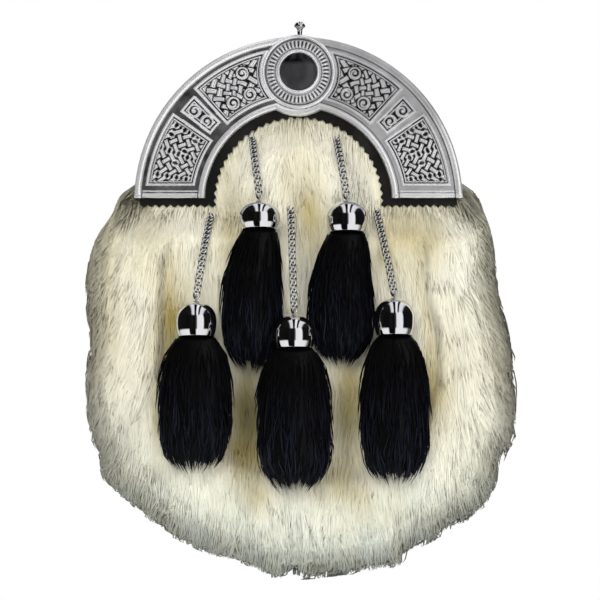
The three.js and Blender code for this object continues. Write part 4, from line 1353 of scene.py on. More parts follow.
@dataclass
class Tassel:
    """One tassel: a curb chain, a polished bell and a tuft of straight hair.

    The chain starts at top. The bell stands at x and y, from cap down over its height, with the radius cap_r. The
    tuft's middle is at hair_x, and it is wide and deep at most, down to end. Pitch and wire are the links' spacing
    and the radius of their wire. The bends are shares of the chain's way down and out, and the forms are shares
    of the tuft's way down and of its width.
    """

    name: str
    top: tuple[float, float, float]
    x: float
    y: float
    cap: float
    height: float
    hair_x: float
    wide: float
    end: float
    seed: int
    deep: float = 17.0
    cap_r: float = 9.0
    hairs: int = 2150
    locks: int = 46
    pitch: float = 3.1
    wire: float = 0.44
    tilt: float = 0.14

    UPPER_BENDS = ((0, 0), (0.1, 0.03), (0.32, 0.5), (0.62, 0.86), (1, 1))
    LOWER_BENDS = ((0, 0), (0.14, 0.3), (0.36, 0.62), (0.66, 0.86), (1, 1))
    UPPER_FORM = (
        (0, 0.46), (0.02, 0.6), (0.08, 0.69), (0.19, 0.8), (0.4, 0.93), (0.61, 0.99), (0.75, 0.95), (0.84, 0.84),
        (0.92, 0.67), (0.97, 0.54), (1.0, 0.44), (1.05, 0.25),
    )  # fmt: skip
    LOWER_FORM = (
        (0, 0.42), (0.02, 0.54), (0.05, 0.66), (0.1, 0.79), (0.17, 0.89), (0.3, 0.97), (0.5, 1.0), (0.7, 0.99),
        (0.82, 0.92), (0.91, 0.79), (0.97, 0.66), (1.0, 0.56), (1.05, 0.35),
    )  # fmt: skip

    @property
    def foot(self) -> float:
        """Height of the bell's rim."""
        return self.cap - self.height

    @property
    def upper(self) -> bool:
        """Whether it hangs from the cantle, and not from the leather or the fur."""
        return self.name.startswith("upper")

    def line(self) -> Array:
        """Line of the chain, from its upper end to the bell's eye, coming forward as its bends say.

        Returns:
            Places a link's pitch apart, in mm.
        """
        bends = np.array(self.UPPER_BENDS if self.upper else self.LOWER_BENDS)
        top, eye = np.array(self.top), np.array([self.x, self.y, self.cap + 1.6])
        knots = top + (eye - top) * bends[:, [0, 1, 0]]
        rough = smooth_line(knots, 200)
        length = np.linalg.norm(np.diff(rough, axis=0), axis=1).sum()
        return smooth_line(knots, max(3, round(length / self.pitch)) + 1)

    def chain(self) -> Skin:
        """Curb chain of flat twisted links.

        A link's middle line at angle a lies at 1.22 sin a across, 0.52 sin 2a in depth and 2.25 cos a along, so
        that each passes over its neighbour on one side and under it on the other. The wire's inner sides and the sides
        turned away from the front are marked dark: painted shade, with the patina that gathers inside the links.

        Returns:
            The skin, in mm.
        """
        line = self.line()
        _, across, up = frames_along(line, -BACKWARD)
        half = np.array([1.22, 0.52, 2.25])
        a = all_round(18)
        centre = half * np.stack([np.sin(a), np.sin(2 * a), np.cos(a)], axis=-1)
        tangent = unit(np.roll(centre, -1, axis=0) - np.roll(centre, 1, axis=0))
        side = unit(np.cross(tangent, BACKWARD))
        b = all_round(7)[:, None]
        around = side[:, None] * np.cos(b) + np.cross(side, tangent)[:, None] * np.sin(b)
        link = looped(centre[:, None] + self.wire * around)
        # Painted shade: the wire is dark except where it faces the front, and darker still inside each link.
        front = around[..., 1] + 0.5 * centre[:, None, 1] / half[1]
        inner = self.wire * (around * centre[:, None] / half**2)[..., [0, 2]].sum(axis=-1)
        dark = np.clip(1 - smoothstep(front, 0.5, 1.3) + 0.8 * (inner < -0.1), 0, 1).reshape(-1)
        links = []
        for k in range(len(line) - 1):
            basis = np.stack([across[k], up[k], unit(line[k] - line[k + 1])])
            places = link.points @ basis + (line[k] + line[k + 1]) / 2
            links.append(Skin(places, link.faces, {"recess": dark}).outward())
        return together(links)

    def bell(self) -> Skin:
        """Bell as a turned shell, widest at 0.56 of the way down, with its rim swung forward by the tilt.

        Above that the 2.05th powers of radius and height shares add up to one, and below it the radius falls by
        1.2 mm with the power 2.4 of the way. Inside lies a plain cup.

        Returns:
            The skin, in mm.
        """
        t = np.sin(np.linspace(0, np.pi / 2, 24))
        above = self.height * 0.56
        below = self.height - above
        top = np.stack([self.cap_r * (1 - t**2.05) ** (1 / 2.05), self.cap - above + above * t], axis=-1)[::-1]
        top[0, 0] = 0.05
        way = np.linspace(0.08, 1, 12)
        low = np.stack([self.cap_r - 1.2 * way**2.4, self.cap - above - below * way], axis=-1)
        r = low[-1, 0]
        cup = np.array([(-0.12, -0.18), (-0.4, -0.22), (-0.6, 0.0), (-0.7, 0.6), (-0.7, 2.4), (0.05 - r, 2.4)])
        skin = lathe(np.concatenate([top, low, cup + (r, self.foot)]), 64).moved(z=-self.cap)
        cos, sin = math.cos(self.tilt), math.sin(self.tilt)
        swing = np.array([[1, 0, 0], [0, cos, -sin], [0, sin, cos]])
        return Skin(skin.points @ swing, skin.faces).moved(self.x, self.y, self.cap)

    def eye(self) -> Skin:
        """Wire eye on the bell, as a tube round a ring that stands across the chain.

        Returns:
            The skin, in mm.
        """
        middle, wire = 1.45, 0.4
        b = all_round(8)
        rings = turned(middle + wire * np.cos(b), wire * np.sin(b), all_round(24)[:, None])[..., [1, 0, 2]]
        return looped(rings).moved(self.x, self.y, self.cap + 1.2)

    def spread(self, share: Array) -> tuple[Array, Array, Array]:
        """Half widths across and in depth and the shift of the tuft's middle, at a share of the way down.

        Args:
            share: Shares of the way down.

        Returns:
            Half widths, half depths and shifts, in mm.
        """
        rows, form = np.array(self.UPPER_FORM if self.upper else self.LOWER_FORM).T
        wide = form * self.wide / 2
        deep = np.maximum(form, 0.88 * smoothstep(rows, -0.1, 0.12) * (rows < 0.3)) * self.deep / 2
        shift = (self.hair_x - self.x) * np.clip(share * 3, 0, 1)
        return np.interp(share, rows, wide), np.interp(share, rows, deep), shift

    def hung(self, x: Array, y: Array, share: Array) -> Array:
        """Points of the tuft, with its top swung forward and tipped like the bell's rim.

        Args:
            x: Places across, in mm.
            y: Places back, in mm.
            share: Shares of the way down.

        Returns:
            Places, in mm.
        """
        near = 1 - smoothstep(share, 0.0, 0.3)
        z = self.foot + 1.2 * near - (self.foot + 1.2 - self.end) * share
        tip = self.tilt * near
        return np.stack([x, y - self.height * tip, z - (y - self.y) * tip], axis=-1)

    def core(self) -> Skin:
        """Closed core a little inside the tuft's form, rounded off below 0.8 of the way down like an ellipse.

        Returns:
            The skin, in mm.
        """
        rows = np.concatenate([np.linspace(0, 0.8, 14), 0.8 + 0.15 * np.sin(np.linspace(0.26, np.pi / 2, 6))])[:, None]
        a = all_round(40)
        wide, deep, shift = self.spread(rows)
        close = 0.9 * np.sqrt(np.clip(1 - ((rows - 0.8) / 0.151).clip(0, 1) ** 2, 0.004, 1))
        share = rows + 0 * a
        rings = self.hung(self.x + shift + np.cos(a) * wide * close, self.y + np.sin(a) * deep * close, share)
        return capped(rings, {"shade": 0 * share, "along": share})

    def tuft(self) -> Skin:
        """Hairs that leave the bell and follow the tuft's form, over the closed core.

        A hair keeps its own direction round the middle and its own share of the half widths, and its end draws in
        to its lock's. Some stray hairs stand off.

        Returns:
            The skin, in mm.
        """
        draw = np.random.default_rng(self.seed)
        count, locks = self.hairs, self.locks
        lock = draw.integers(0, locks, count)
        half = np.arccos(np.linspace(-0.98, 0.98, locks // 2)) * 0.5 + np.linspace(np.pi, 0.0, locks // 2) * 0.5
        lock_turn = np.concatenate([half, -half])[lock]
        turn = lock_turn + draw.normal(0, 0.13, count)
        depth = 1 - 0.5 * draw.random(count) ** 1.3
        lock_end = draw.uniform(0.9, 1.03, locks)[lock]
        begin = draw.random(count) ** 1.1 * 0.8
        finish = np.minimum(begin + draw.uniform(0.2, 0.42, count), lock_end + draw.normal(0, 0.02, count))
        share = begin[:, None] + (finish - begin)[:, None] * STATIONS
        wide, deep, shift = self.spread(share)
        gather = smoothstep(share, 0.7, 1.1) * 0.35
        angle = turn[:, None] * (1 - gather) + lock_turn[:, None] * gather + draw.normal(0, 0.05, share.shape)
        stray = (draw.random(count) < 0.06)[:, None] * draw.uniform(0.0, 0.12, (count, 1)) * (share > 0.12)
        fluff = 1 + 0.04 * (lock % 3 - 1)[:, None] * smoothstep(share, 0.1, 0.4)
        out = (depth[:, None] * np.array([0.9, 0.97, 1.0, 1.02]) + stray * np.array([0, 0.2, 0.6, 1.0])) * fluff
        x = self.x + shift + np.cos(angle) * wide * out
        y = self.y + np.sin(angle) * deep * out
        radii = draw.uniform(0.22, 0.36, count)[:, None] * np.array([0.8, 1.0, 1.0])
        # Each hair's random share of the sheen painted into the hair's colour.
        shade = np.broadcast_to(draw.random(count)[:, None] ** 2, share.shape)
        return together([self.core(), strands(self.hung(x, y, share), radii, {"shade": shade, "along": share})])

    def dress(self, finishes: Finishes) -> None:
        """Adds the tassel's chain, bell with its eye, and tuft.

        Args:
            finishes: The finishes to take.
        """
        name = self.name
        add_piece(f"curb_chain_{name}", self.chain(), finishes.cast, instead_of=[f"chain_{name}"])
        bell = together([self.bell(), self.eye()])
        add_piece(f"bell_{name}", bell, finishes.chrome, instead_of=[f"tassel_cap_{name}"])
        add_piece(f"tuft_{name}", self.tuft(), finishes.hair, instead_of=[f"tassel_fur_{name}"])


# Fur

CREASE_X = -1.8


def patches(x: Array, z: Array, rows: Sequence[tuple[float, ...]]) -> Array:
    """Soft oval patches: the sum of amount times e to the minus (x off over width)² less (z off over height)².

    Args:
        x: Places across, in mm.
        z: Places up, in mm.
        rows: Rows of the middle's x and z, width, height and amount.

    Returns:
        The sum at each place.
    """
    return sum(amount * np.exp(-(((x - px) / sx) ** 2 + ((z - pz) / sz) ** 2)) for px, pz, sx, sz, amount in rows)


@dataclass
class FurFront:
    """Long ivory fur over the pouch's front, puffed round its rim and lower in its middle.

    The outline's rows are height, left edge and right edge, and the depths' rows are the share of the way out and
    the coat's depth there. The valley is the share where the coat is deepest in, and tip_reach is how far the
    hairs' tips stand beyond the pile. The yellow and shaded patches are rows as patches() takes them. The yellow
    ones are yellowed hair and, near the tassels, painted shadow; the shaded ones are painted shadow.
    """

    tassels: Sequence[Tassel]
    outline: tuple[tuple[float, float, float], ...] = (
        (8.0, -76.0, 77.0), (2.7, -82.6, 83.0), (-8.1, -86.6, 86.2), (-18.9, -92.5, 88.0), (-35.1, -95.6, 89.8),
        (-45.9, -96.1, 91.6), (-62.1, -94.7, 96.1), (-78.3, -96.5, 97.4), (-94.5, -96.1, 97.9),
        (-105.3, -93.8, 97.4), (-116.1, -89.8, 92.5), (-126.9, -86.6, 89.8), (-137.7, -73.6, 83.9),
        (-148.5, -60.5, 67.3), (-159.3, -38.9, 49.7), (-164.7, -20.9, 42.5), (-169.7, -10.0, 5.0),
    )  # fmt: skip
    depths: tuple[tuple[float, float], ...] = (
        (0, -27.5), (0.35, -28), (0.58, -28.8), (0.645, -28.4), (0.7, -32.6), (0.78, -34), (0.86, -32.6),
        (0.92, -28.5), (0.965, -22), (1.0, -13), (1.08, -6),
    )  # fmt: skip
    valley: float = 0.63
    tip_reach: float = 4.5
    clumps: int = 1900
    per_clump: int = 12
    rim_clumps: int = 820
    per_rim_clump: int = 12
    # Yellowed hair, and between and beside the tassels painted shadow.
    yellow_and_shade_patches: tuple[tuple[float, ...], ...] = (
        (-57, -58, 8, 22, 0.5), (-29, -14, 8, 18, 0.45), (6, -10, 7, 15, 0.5), (42, -20, 9, 16, 0.45),
        (-22.5, -99, 8, 24, 1.0), (22, -92, 7, 18, 0.8), (60, -86, 8, 18, 0.45), (34, -138, 16, 7, 0.35),
        (-18, -132, 8, 8, 0.4), (0, 8, 9, 14, 0.25), (-70, -22, 10, 22, 0.25), (58, -18, 10, 12, 0.35),
        (20, -128, 12, 6, 0.4), (-84, -40, 8, 30, 0.25), (-60, -95, 5, 20, 0.5),
    )  # fmt: skip
    # Painted shadow, between and beside the tassels and low on the left side.
    shaded: tuple[tuple[float, ...], ...] = (
        (-22.5, -97, 7.5, 25, 0.8), (21, -100, 6, 22, 0.55), (4, -30, 6, 18, 0.35), (-59, -62, 4, 12, 0.25),
        (26, -124, 9, 4, 0.3), (-60, -122, 9, 5, 0.25), (48, -52, 4, 12, 0.25), (-77, -110, 10, 17, 0.24),
    )  # fmt: skip

    def __post_init__(self) -> None:
        """Turns the outline's rows into radii round the middle."""
        rows = np.array(self.outline)
        arch = turned(70.0, 0.0, np.radians(np.linspace(12, 168, 27)))[:, [0, 2]]
        left, right = rows[:, [1, 0]], rows[::-1][:, [2, 0]]
        ring = smooth_line(np.concatenate([arch, left, right]), 400, closed=True)
        around = np.arctan2(ring[:, 1] - MIDDLE_Z, ring[:, 0])
        order = np.argsort(around)
        self._angles = around[order]
        self._radii = np.hypot(ring[:, 0], ring[:, 1] - MIDDLE_Z)[order]

    def reach(self, angle: Array) -> Array:
        """Distance from the middle to the hair's outline in a direction."""
        return np.interp(angle, self._angles, self._radii, period=2 * np.pi)

    def pile_reach(self, angle: Array) -> Array:
        """Distance from the middle to the pile's edge: the outline's less the tips', shorter at the shoulders.

        Args:
            angle: Directions from the middle.

        Returns:
            Distances, in mm.
        """
        reach = self.reach(angle)
        shoulder = smoothstep(MIDDLE_Z + reach * np.sin(angle), -40.0, -6.0)
        return reach - self.tip_reach * (1 - 0.65 * shoulder)

    def share_of(self, x: Array, z: Array) -> Array:
        """How far out a place lies: its distance from the middle over that of the pile's edge."""
        angle = np.arctan2(z - MIDDLE_Z, x)
        return np.hypot(x, z - MIDDLE_Z) / self.pile_reach(angle)

    def surface(self, x: Array, z: Array) -> tuple[Array, Array]:
        """Depth of the combed coat, and how freely it stands.

        The first depth follows the share of the way out, smoothly from row to row of the depths. The second is
        held back to y -12.5 under the leather and comes forward beyond its edges. The coat takes the one further
        back, with a soft bend: half of their sum plus the root of their squared difference plus 8. A crease runs
        up from the bottom, and slow ripples make the coat uneven.

        Args:
            x: Places across, in mm.
            z: Places up, in mm.

        Returns:
            Depths in mm and freedoms between 0 and 1.
        """
        share = self.share_of(x, z)
        rows = np.array(self.depths)
        k = np.clip(np.searchsorted(rows[:, 0], share) - 1, 0, len(rows) - 2)
        t = smoothstep((share - rows[k, 0]) / (rows[k + 1, 0] - rows[k, 0]), 0.0, 1.0)
        deep = rows[k, 1] + (rows[k + 1, 1] - rows[k, 1]) * t
        in_arch = PinkedLeather.inner - np.where(z > PinkedLeather.bottom, np.hypot(x, z), np.abs(x))
        below = PinkedLeather.bottom - 0.4 - z
        risen = np.maximum(14.5 * smoothstep(in_arch, 0.6, 17.0), 22 * smoothstep(below, 0.0, 20.0))
        free = smoothstep(risen, 0.3, 7.0)
        crease = 3.5 * np.exp(-(((x - CREASE_X) / 2.6) ** 2)) * smoothstep(-z, 132, 150)
        uneven = 0.8 * ripples(x, z, 28, 3) + 0.35 * ripples(x, z, 12, 8)
        held = -12.5 - risen
        meeting = (deep + held + np.sqrt((deep - held) ** 2 + 8.0)) / 2
        return meeting + crease + uneven * free, free

    def lie(self, points: Array) -> Array:
        """Outward unit normals of the coat at points on it.

        In front they are (slope of y along x, -1, slope of y along z), by central differences. Round the rim they
        turn outwards from the middle, and then to the back.

        Args:
            points: Places of the coat, in mm.

        Returns:
            Unit vectors.
        """
        x, y, z = np.moveaxis(points, -1, 0)
        h = 0.6
        along_x = (self.surface(x + h, z)[0] - self.surface(x - h, z)[0]) / (2 * h)
        along_z = (self.surface(x, z + h)[0] - self.surface(x, z - h)[0]) / (2 * h)
        front = unit(np.stack([along_x, -np.ones_like(x), along_z], axis=-1))
        back = smoothstep(y, -17.0, -3.0)
        angle = np.arctan2(z - MIDDLE_Z, x)
        rim = turned(0.95, -0.3 + 0.9 * back, angle)
        share = (smoothstep(y, -30.0, -18.0) * smoothstep(self.share_of(x, z), 0.8, 0.92))[..., None]
        return unit(front * (1 - share) + rim * share)

    def comb(self, x: Array, z: Array) -> Array:
        """Way that the hair lies at a place, as unit x and z: down in the middle, turning outwards at the rim.

        Args:
            x: Places across, in mm.
            z: Places up, in mm.

        Returns:
            Unit vectors of x and z.
        """
        out = unit(np.stack([x, z - MIDDLE_Z], axis=-1))
        lean = 0.72 * smoothstep(self.share_of(x, z), 0.6, 1.12)[..., None]
        down = np.array([0.0, -1.0])
        sway = np.stack([0.2 * ripples(x, z, 32, 21) + 0.1 * ripples(x, z, 10, 22), 0 * x], axis=-1)
        return unit(out * lean + down * (1 - 0.5 * lean) + sway)

    def covered(self, x: Array, z: Array) -> Array:
        """Whether a place lies well under the leather, where no hair shows."""
        r = np.hypot(x, z)
        return (z > 7.0) & (r > 41.0) & (r < 74.5)

    def clear_of_tassels(self, path: Array) -> Array:
        """Hair held behind each chain, bell and tuft: no place comes further forward than their backs.

        Args:
            path: Places of the hair, in mm.

        Returns:
            The places, some of them further back.
        """
        x, y, z = np.moveaxis(path, -1, 0)
        for tassel in self.tassels:
            half = tassel.wide / 2 + 1.0
            middle = tassel.x + (tassel.hair_x - tassel.x) * np.clip((tassel.foot - z) / 20, 0, 1)
            inside = (np.abs(x - middle) < half) & (z < tassel.cap) & (z > tassel.end - 3)
            bell = (np.abs(x - tassel.x) < 9.6) & (z < tassel.cap + 2) & (z > tassel.foot - 2)
            limit = np.where(bell, tassel.y + 9.3, tassel.y + 8.4)
            y = np.where(inside | bell, np.maximum(y, limit), y)
            line = tassel.line()[::-1]
            chain_x, chain_y = (np.interp(z, line[:, 2], line[:, k]) for k in (0, 1))
            close = (np.abs(x - chain_x) < 2.3) & (z < line[-1, 2] + 1) & (z > line[0, 2])
            y = np.where(close, np.maximum(y, chain_y + 0.9), y)
        return np.stack([x, y, z], axis=-1)

    def tones(self, x: Array, z: Array) -> dict[str, Array]:
        """Warm, cool and edge marks at places, from the yellow and shaded patches, the height and the way out. The edge
        mark is painted shade, and the warm mark is yellowing with painted shade mixed in.

        Args:
            x: Places across, in mm.
            z: Places up, in mm.

        Returns:
            Marks between 0 and 1, by name.
        """
        share = self.share_of(x, z)
        # Yellowed hair with painted shadow in the patches near the tassels, and a slow random tone.
        warm = patches(x, z, self.yellow_and_shade_patches) * (1 + 0.3 * ripples(x, z, 16, 31)) + 0.12 + 0.08 * ripples(x, z, 44, 32)
        # Painted shade in the hollow inside the raised rim.
        warm += 0.3 * np.exp(-(((share - self.valley) / 0.04) ** 2)) * smoothstep(-z, 10, 50)
        # Painted shade, warmer toward the outer rim.
        warm += 0.16 * smoothstep(share, 0.86, 1.0)
        cool = smoothstep(-z, 80, 165) * smoothstep(share, 0.6, 1.0) + 0.12 * smoothstep(share, 0.7, 0.8)
        cool = cool * (0.75 + 0.3 * ripples(x, z, 26, 33))
        # Painted shade: greyer toward the pelt's edge, and in the shaded patches.
        edge = 0.14 * smoothstep(share, 0.9, 1.01) + 0.17 * smoothstep(share, 1.0, 1.055)
        edge += patches(x, z, self.shaded)
        return {name: np.clip(mark, 0, 1) for name, mark in (("warm", warm), ("cool", cool), ("edge", edge))}

    def hairs(self, roots: Array, lengths: Array, per: int, lifts: Array, seed: int, depth: Array | None) -> Skin:
        """Clumps of hairs from their roots, each drawn in toward its clump's middle hair.

        At a share t of its length a hair lies at its root, plus t times its length along its clump's way, plus a
        bow sideways that grows as t squared. Its offset from the clump's middle is taken times one less half of
        t^1.3. A place beyond the outline is drawn back to it, and the depth is the coat's less the lift.

        Args:
            roots: Clumps' places as rows of x and z.
            lengths: Length of each clump's hairs, in mm.
            per: Hairs in a clump.
            lifts: Height above the coat at the root, at two stations and at the tip.
            seed: Start of the draw.
            depth: Depth of each clump's roots, or None to follow the coat.

        Returns:
            The hairs.
        """
        draw = np.random.default_rng(seed)
        count = len(roots)
        offset = draw.normal(0, 2.5, (count, per, 2))
        combed = self.comb(roots[:, 0], roots[:, 1])
        angle = np.arctan2(combed[:, 1], combed[:, 0]) + draw.normal(0, 0.09, count)
        way = np.stack([np.cos(angle), np.sin(angle)], axis=-1)[:, None, None]
        t = STATIONS[:, None]
        own = (lengths[:, None] * draw.uniform(0.78, 1.08, (count, per)))[..., None, None]
        bow = draw.normal(0, 0.07, count)[:, None, None, None] * way[..., ::-1] * (-1, 1)
        place = roots[:, None, None] + offset[:, :, None] * (1 - 0.5 * t**1.3) + own * (way * t + bow * t**2)
        x, z = place[..., 0], place[..., 1]
        angle = np.arctan2(z - MIDDLE_Z, x)
        uneven = draw.normal(0, 0.008, count)[:, None, None] - np.abs(draw.normal(0, 0.011, (count, per)))[..., None]
        notch = 3.0 * np.exp(-(((x - CREASE_X) / 4.0) ** 2)) * (z < -120)
        scallop = (0.014 * ripples(roots[:, 0], roots[:, 1], 13, 51))[:, None, None]
        limit = (self.reach(angle) - notch) * (1 + uneven + scallop - 0.002)
        spare = 1.3 * smoothstep(-z, 2.0, 14.0) + 5.0 * smoothstep(-z, 6.0, 40.0)
        limit = np.minimum(limit, self.pile_reach(angle) - 0.4 + spare)
        shrink = np.minimum(1.0, limit / np.hypot(x, z - MIDDLE_Z))
        x, z = x * shrink, MIDDLE_Z + (z - MIDDLE_Z) * shrink
        deep, free = self.surface(x, z)
        lift = lifts * draw.uniform(0.6, 1.4, (count, per, 1)) + draw.normal(0, 0.15, (count, per, 1)) * STATIONS
        y = deep - lift * (0.15 + 0.85 * free)
        if depth is not None:
            y = np.maximum(y, depth[:, None, None] + 1.2 * STATIONS)
        path = self.clear_of_tassels(np.stack([x, y, z], axis=-1)).reshape(-1, len(STATIONS), 3)
        radii = draw.uniform(0.26, 0.42, len(path))[:, None] * np.array([0.75, 1.0, 0.8])
        marks = self.tones(path[..., 0], path[..., 2])
        marks["along"] = np.broadcast_to(STATIONS, path.shape[:2])
        tone = np.repeat(draw.normal(1.0, 0.03, count), per) + draw.normal(0, 0.028, len(path))
        marks["shade"] = np.broadcast_to(tone[:, None], path.shape[:2])
        normal = self.lie(path)
        across = unit(np.cross(path[:, -1:] - path[:, :1], normal))
        marks["lie"] = normal + across * draw.normal(0, 0.1, (len(path), 1, 1))
        return strands(path, radii, marks)

    def coat_roots(self, seed: int) -> Array:
        """Places of the coat's clumps: drawn evenly, less those off the pile or well under the leather.

        Args:
            seed: Start of the draw.

        Returns:
            Rows of x and z.
        """
        draw = np.random.default_rng(seed)
        tries = np.stack([draw.uniform(-98, 98, 9000), draw.uniform(-168, 42, 9000)], axis=-1)
        share = self.share_of(tries[:, 0], tries[:, 1])
        good = (share < 0.99) & ~self.covered(tries[:, 0], tries[:, 1])
        return tries[good][: self.clumps]

    def rim_roots(self) -> tuple[Array, Array]:
        """Places and depths of the rim's clumps: five rows round the free outline, one behind the other.

        Returns:
            Rows of x and z, and depths in mm.
        """
        draw = np.random.default_rng(77)
        angle = draw.uniform(math.radians(-206), math.radians(26), self.rim_clumps)
        share = draw.uniform(0.9, 1.0, self.rim_clumps)
        roots = turned(self.pile_reach(angle) * share, 0.0, angle)[:, [0, 2]] + (0.0, MIDDLE_Z)
        return roots, draw.choice([-21.0, -15.0, -9.5, -6.0, -3.4], self.rim_clumps)

    def hide(self) -> Skin:
        """Closed hide under the hairs, 0.25 to 0.35 mm below the coat, with its back edge at y -2.

        Returns:
            The skin, in mm.
        """
        turn = all_round(220)
        reach = self.pile_reach(turn)
        rim = np.array([(0.9, -2.0), (0.97, -3.5), (0.995, -8.0)])
        share = np.concatenate([rim[:, 0], np.linspace(0.99, 0.8, 12), np.linspace(0.78, 0.02, 34)])[:, None]
        rings = turned(reach * share, 0.0, turn) + (0.0, 0.0, MIDDLE_Z)
        deep, free = self.surface(rings[..., 0], rings[..., 2])
        rings[..., 1] = deep + 0.25 + 0.1 * free
        rings[: len(rim), :, 1] = rim[:, 1:]
        rings = self.clear_of_tassels(rings)
        marks = self.tones(rings[..., 0], rings[..., 2])
        # Painted shade on the hide: some of the roots' darker tint, and a tone a little below the hairs'.
        marks["along"] = np.full(rings.shape[:2], 0.3)
        marks["shade"] = np.full(rings.shape[:2], 0.97)
        marks["lie"] = self.lie(rings)
        marks["lie"][0] = BACKWARD
        return capped(rings, marks)

    def dress(self, finishes: Finishes) -> None:
        """Adds the pile and the hairs, in pieces by side and height.

        Args:
            finishes: The finishes to take.
        """
        add_piece("fur_hide", self.hide(), finishes.fur, instead_of=["fur_front"])
        roots = self.coat_roots(11)
        draw = np.random.default_rng(12)
        share = self.share_of(roots[:, 0], roots[:, 1])
        lengths = draw.uniform(19, 26, len(roots)) * (1 - 0.25 * smoothstep(share, 0.75, 1.0))
        lifts = np.array([-1.0, 0.15, 0.4, 0.0])
        parts = {
            "fur_upper": roots[:, 1] > -38,
            "fur_lower_left": (roots[:, 1] <= -38) & (roots[:, 0] < -6),
            "fur_lower_right": (roots[:, 1] <= -38) & (roots[:, 0] >= -6),
        }
        for k, (name, chosen) in enumerate(parts.items()):
            skin = self.hairs(roots[chosen], lengths[chosen], self.per_clump, lifts, 40 + k, None)
            add_piece(name, skin, finishes.fur)
        rim, depth = self.rim_roots()
        lengths = draw.uniform(10, 16, len(rim))
        skin = self.hairs(rim, lengths, self.per_rim_clump, np.array([-1.0, 0.5, 0.5, 0.0]), 60, depth)
        add_piece("fur_rim", skin, finishes.fur)


# Studio


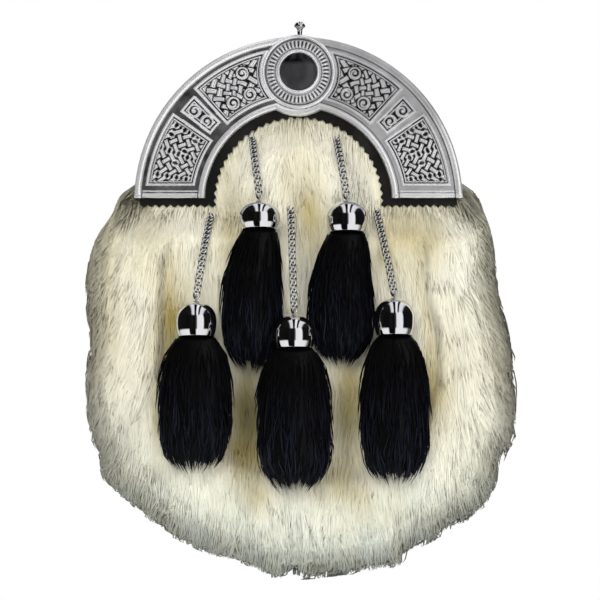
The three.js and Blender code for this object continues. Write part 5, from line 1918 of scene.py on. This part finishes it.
@dataclass
class Studio:
    """Camera, floor, lights and what the polished metal reflects."""

    lens_mm: float = 135.0
    frame_width_mm: float = 270.0
    camera_x: float = 0.7
    camera_z: float = -44.6
    face_y: float = -16.7
    floor_z_m: float = -0.5

    def camera(self) -> None:
        """Level camera straight in front, as far off as makes the frame 270 mm wide at the cantle's face."""
        data = bpy.data.cameras.new("camera")
        data.lens, data.sensor_width = self.lens_mm, 36.0
        data.clip_start, data.clip_end = 0.05, 50.0
        camera = bpy.data.objects.new("camera", data)
        off = self.frame_width_mm * self.lens_mm / 36.0
        camera.location = placed(np.array([self.camera_x, self.face_y - off, self.camera_z]))
        camera.rotation_euler = (math.pi / 2, 0.0, 0.0)
        bpy.context.scene.collection.objects.link(camera)
        bpy.context.scene.camera = camera

    def floor(self, finishes: Finishes) -> None:
        """Wide pale floor, below the picture's lower edge. The chrome shows the studio's walls in its place.

        Args:
            finishes: The finishes to take.
        """
        half = 2.1
        mesh = bpy.data.meshes.new("floor")
        corners = [(-half, -half, 0), (half, -half, 0), (half, half, 0), (-half, half, 0)]
        mesh.from_pydata([(x, y, self.floor_z_m) for x, y, _ in corners], [], [(0, 1, 2, 3)])
        mesh.materials.append(finishes.floor)
        floor = bpy.data.objects.new("floor", mesh)
        floor.visible_glossy = False
        bpy.context.scene.collection.objects.link(floor)

    def lamp(self, name: str, place: tuple[float, float, float], size: float, watts: float) -> None:
        """Square lamp at a place in metres, aimed at the pouch's middle and unseen in reflections.

        Args:
            name: Name of the lamp.
            place: Where it stands, in metres.
            size: Length of its side, in metres.
            watts: Power.
        """
        data = bpy.data.lights.new(name, "AREA")
        data.size, data.energy = size, watts
        lamp = bpy.data.objects.new(name, data)
        lamp.location = place
        aim = Vector((0.0, -0.02, -0.05)) - Vector(place)
        lamp.rotation_euler = aim.to_track_quat("-Z", "Y").to_euler()
        lamp.visible_glossy = False
        bpy.context.scene.collection.objects.link(lamp)

    def surroundings(self) -> None:
        """White background, soft fill, and bright and dark walls that only reflections see.

        The walls are laid out by azimuth round the front and by elevation: a bright wall to the right, a smaller
        one low on the left, bars of light overhead and a pale floor.
        """
        world = bpy.data.worlds.new("studio")
        bpy.context.scene.world = world
        world.use_nodes = True
        world.node_tree.nodes.clear()
        add = partial(add_node, world.node_tree)
        axes = add("SeparateXYZ", {0: add("TexCoord").outputs["Generated"]}).outputs
        front = add("Math", {0: axes[1], 1: -1.0}, operation="MULTIPLY")
        azimuth = add("Math", {0: axes[0], 1: front}, operation="ARCTAN2")
        turn = add("MapRange", {"Value": azimuth, "From Min": -math.pi, "From Max": math.pi})
        walls = {
            -180: "#D8D8D8", -146: "#D0D0D0", -136: "#181818", -40: "#0C0C0C", -20: "#161616", -4: "#080808",
            2: "#303030", 7: "#6A6A6A", 10: "#F6F6F6", 44: "#FFFFFF", 50: "#101010", 134: "#181818",
            146: "#D0D0D0", 180: "#D8D8D8",
        }  # fmt: skip
        ground = {
            -180: "#B0B0A8", -120: "#A0A098", -100: "#F0F0EC", -40: "#FFFFFF", -34: "#0C0C0C", 0: "#0C0C0C",
            6: "#FFFFFF", 70: "#F4F4F0", 90: "#50504C", 180: "#B0B0A8",
        }  # fmt: skip
        horizon, below = (
            add("ValToRGB", {"Fac": turn}, stops=[(0.5 + degrees / 360, code) for degrees, code in table.items()])
            for table in (walls, ground)
        )
        across = add("MapRange", {"Value": axes[0], "From Min": -1.0, "From Max": 1.0})
        bars = (
            (0.0, "#101010"), (0.3, "#181818"), (0.35, "#E8E8E8"), (0.43, "#F0F0F0"), (0.45, "#050505"),
            (0.52, "#050505"), (0.54, "#FFFFFF"), (0.6, "#FFFFFF"), (0.62, "#080808"), (0.67, "#080808"),
            (0.69, "#F4F4F4"), (0.8, "#E8E8E8"), (0.84, "#202020"), (1.0, "#202020"),
        )  # fmt: skip
        ceiling = add("ValToRGB", {"Fac": across}, stops=bars)
        high = add("MapRange", {"Value": axes[2], "From Min": 0.5, "From Max": 0.62})
        low = add("MapRange", {"Value": axes[2], "From Min": -0.22, "From Max": -0.16})
        upper = add("Mix", {0: high, 6: horizon, 7: ceiling}, data_type="RGBA").outputs[2]
        mirror = add("Mix", {0: low, 6: below, 7: upper}, data_type="RGBA").outputs[2]
        rise = add("MapRange", {"Value": axes[2], "From Min": -1.0})
        fill = add("ValToRGB", {"Fac": rise}, stops=((0.0, "#A8A8A6"), (0.45, "#C0C0BE"), (1.0, "#F4F4F6")))
        path = add("LightPath").outputs
        lit = add("Mix", {0: path["Is Glossy Ray"], 6: fill, 7: mirror}, data_type="RGBA").outputs[2]
        seen = add("Mix", {0: path["Is Camera Ray"], 6: lit, 7: linear("#FFFFFF")}, data_type="RGBA").outputs[2]
        add("OutputWorld", {"Surface": add("Background", {"Color": seen, "Strength": 1.0})})

    def build(self, finishes: Finishes) -> None:
        """Sets up the whole studio.

        Args:
            finishes: The finishes to take.
        """
        self.camera()
        self.floor(finishes)
        self.surroundings()
        self.lamp("key", (-0.35, -1.9, 0.75), 0.9, 24.0)
        self.lamp("front", (0.45, -1.9, 0.1), 1.2, 14.0)
        view = bpy.context.scene.view_settings
        view.view_transform, view.look = "Standard", "None"


TASSELS = (
    Tassel("upper_left", (-21.4, -10.7, 32.9), -17.1, -36, -0.9, 12.6, -20.3, 28.9, -73.5, 101),
    Tassel("upper_right", (16.4, -10.7, 33.3), 21.4, -36, -0.9, 14, 19.1, 30.6, -71, 102),
    Tassel("lower_left", (-39.4, -13.4, -5.9), -44.8, -43, -45, 15.8, -45.3, 33, -117.2, 103),
    Tassel("lower_middle", (-3.4, -25.5, -3.2), -1.8, -47, -51.3, 14.4, -1.9, 33.8, -125.2, 104),
    Tassel("lower_right", (34.9, -13.4, -3.4), 42.1, -43, -43.7, 16.6, 42.4, 31.5, -122.4, 105),
)


def main() -> None:
    """Loads the frame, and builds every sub-assembly in order."""
    logging.basicConfig(level=logging.INFO, format="%(message)s")
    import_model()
    finishes = Finishes()
    Studio().build(finishes)
    Cantle().dress(finishes)
    RearFrame().dress(finishes)
    PinkedLeather().dress(finishes)
    PouchBody().dress(finishes)
    for side in (-1, 1):
        StrapLoop(side).dress(finishes)
    for tassel in TASSELS:
        tassel.dress(finishes)
    FurFront(TASSELS).dress(finishes)


if __name__ == "__main__":
    main()
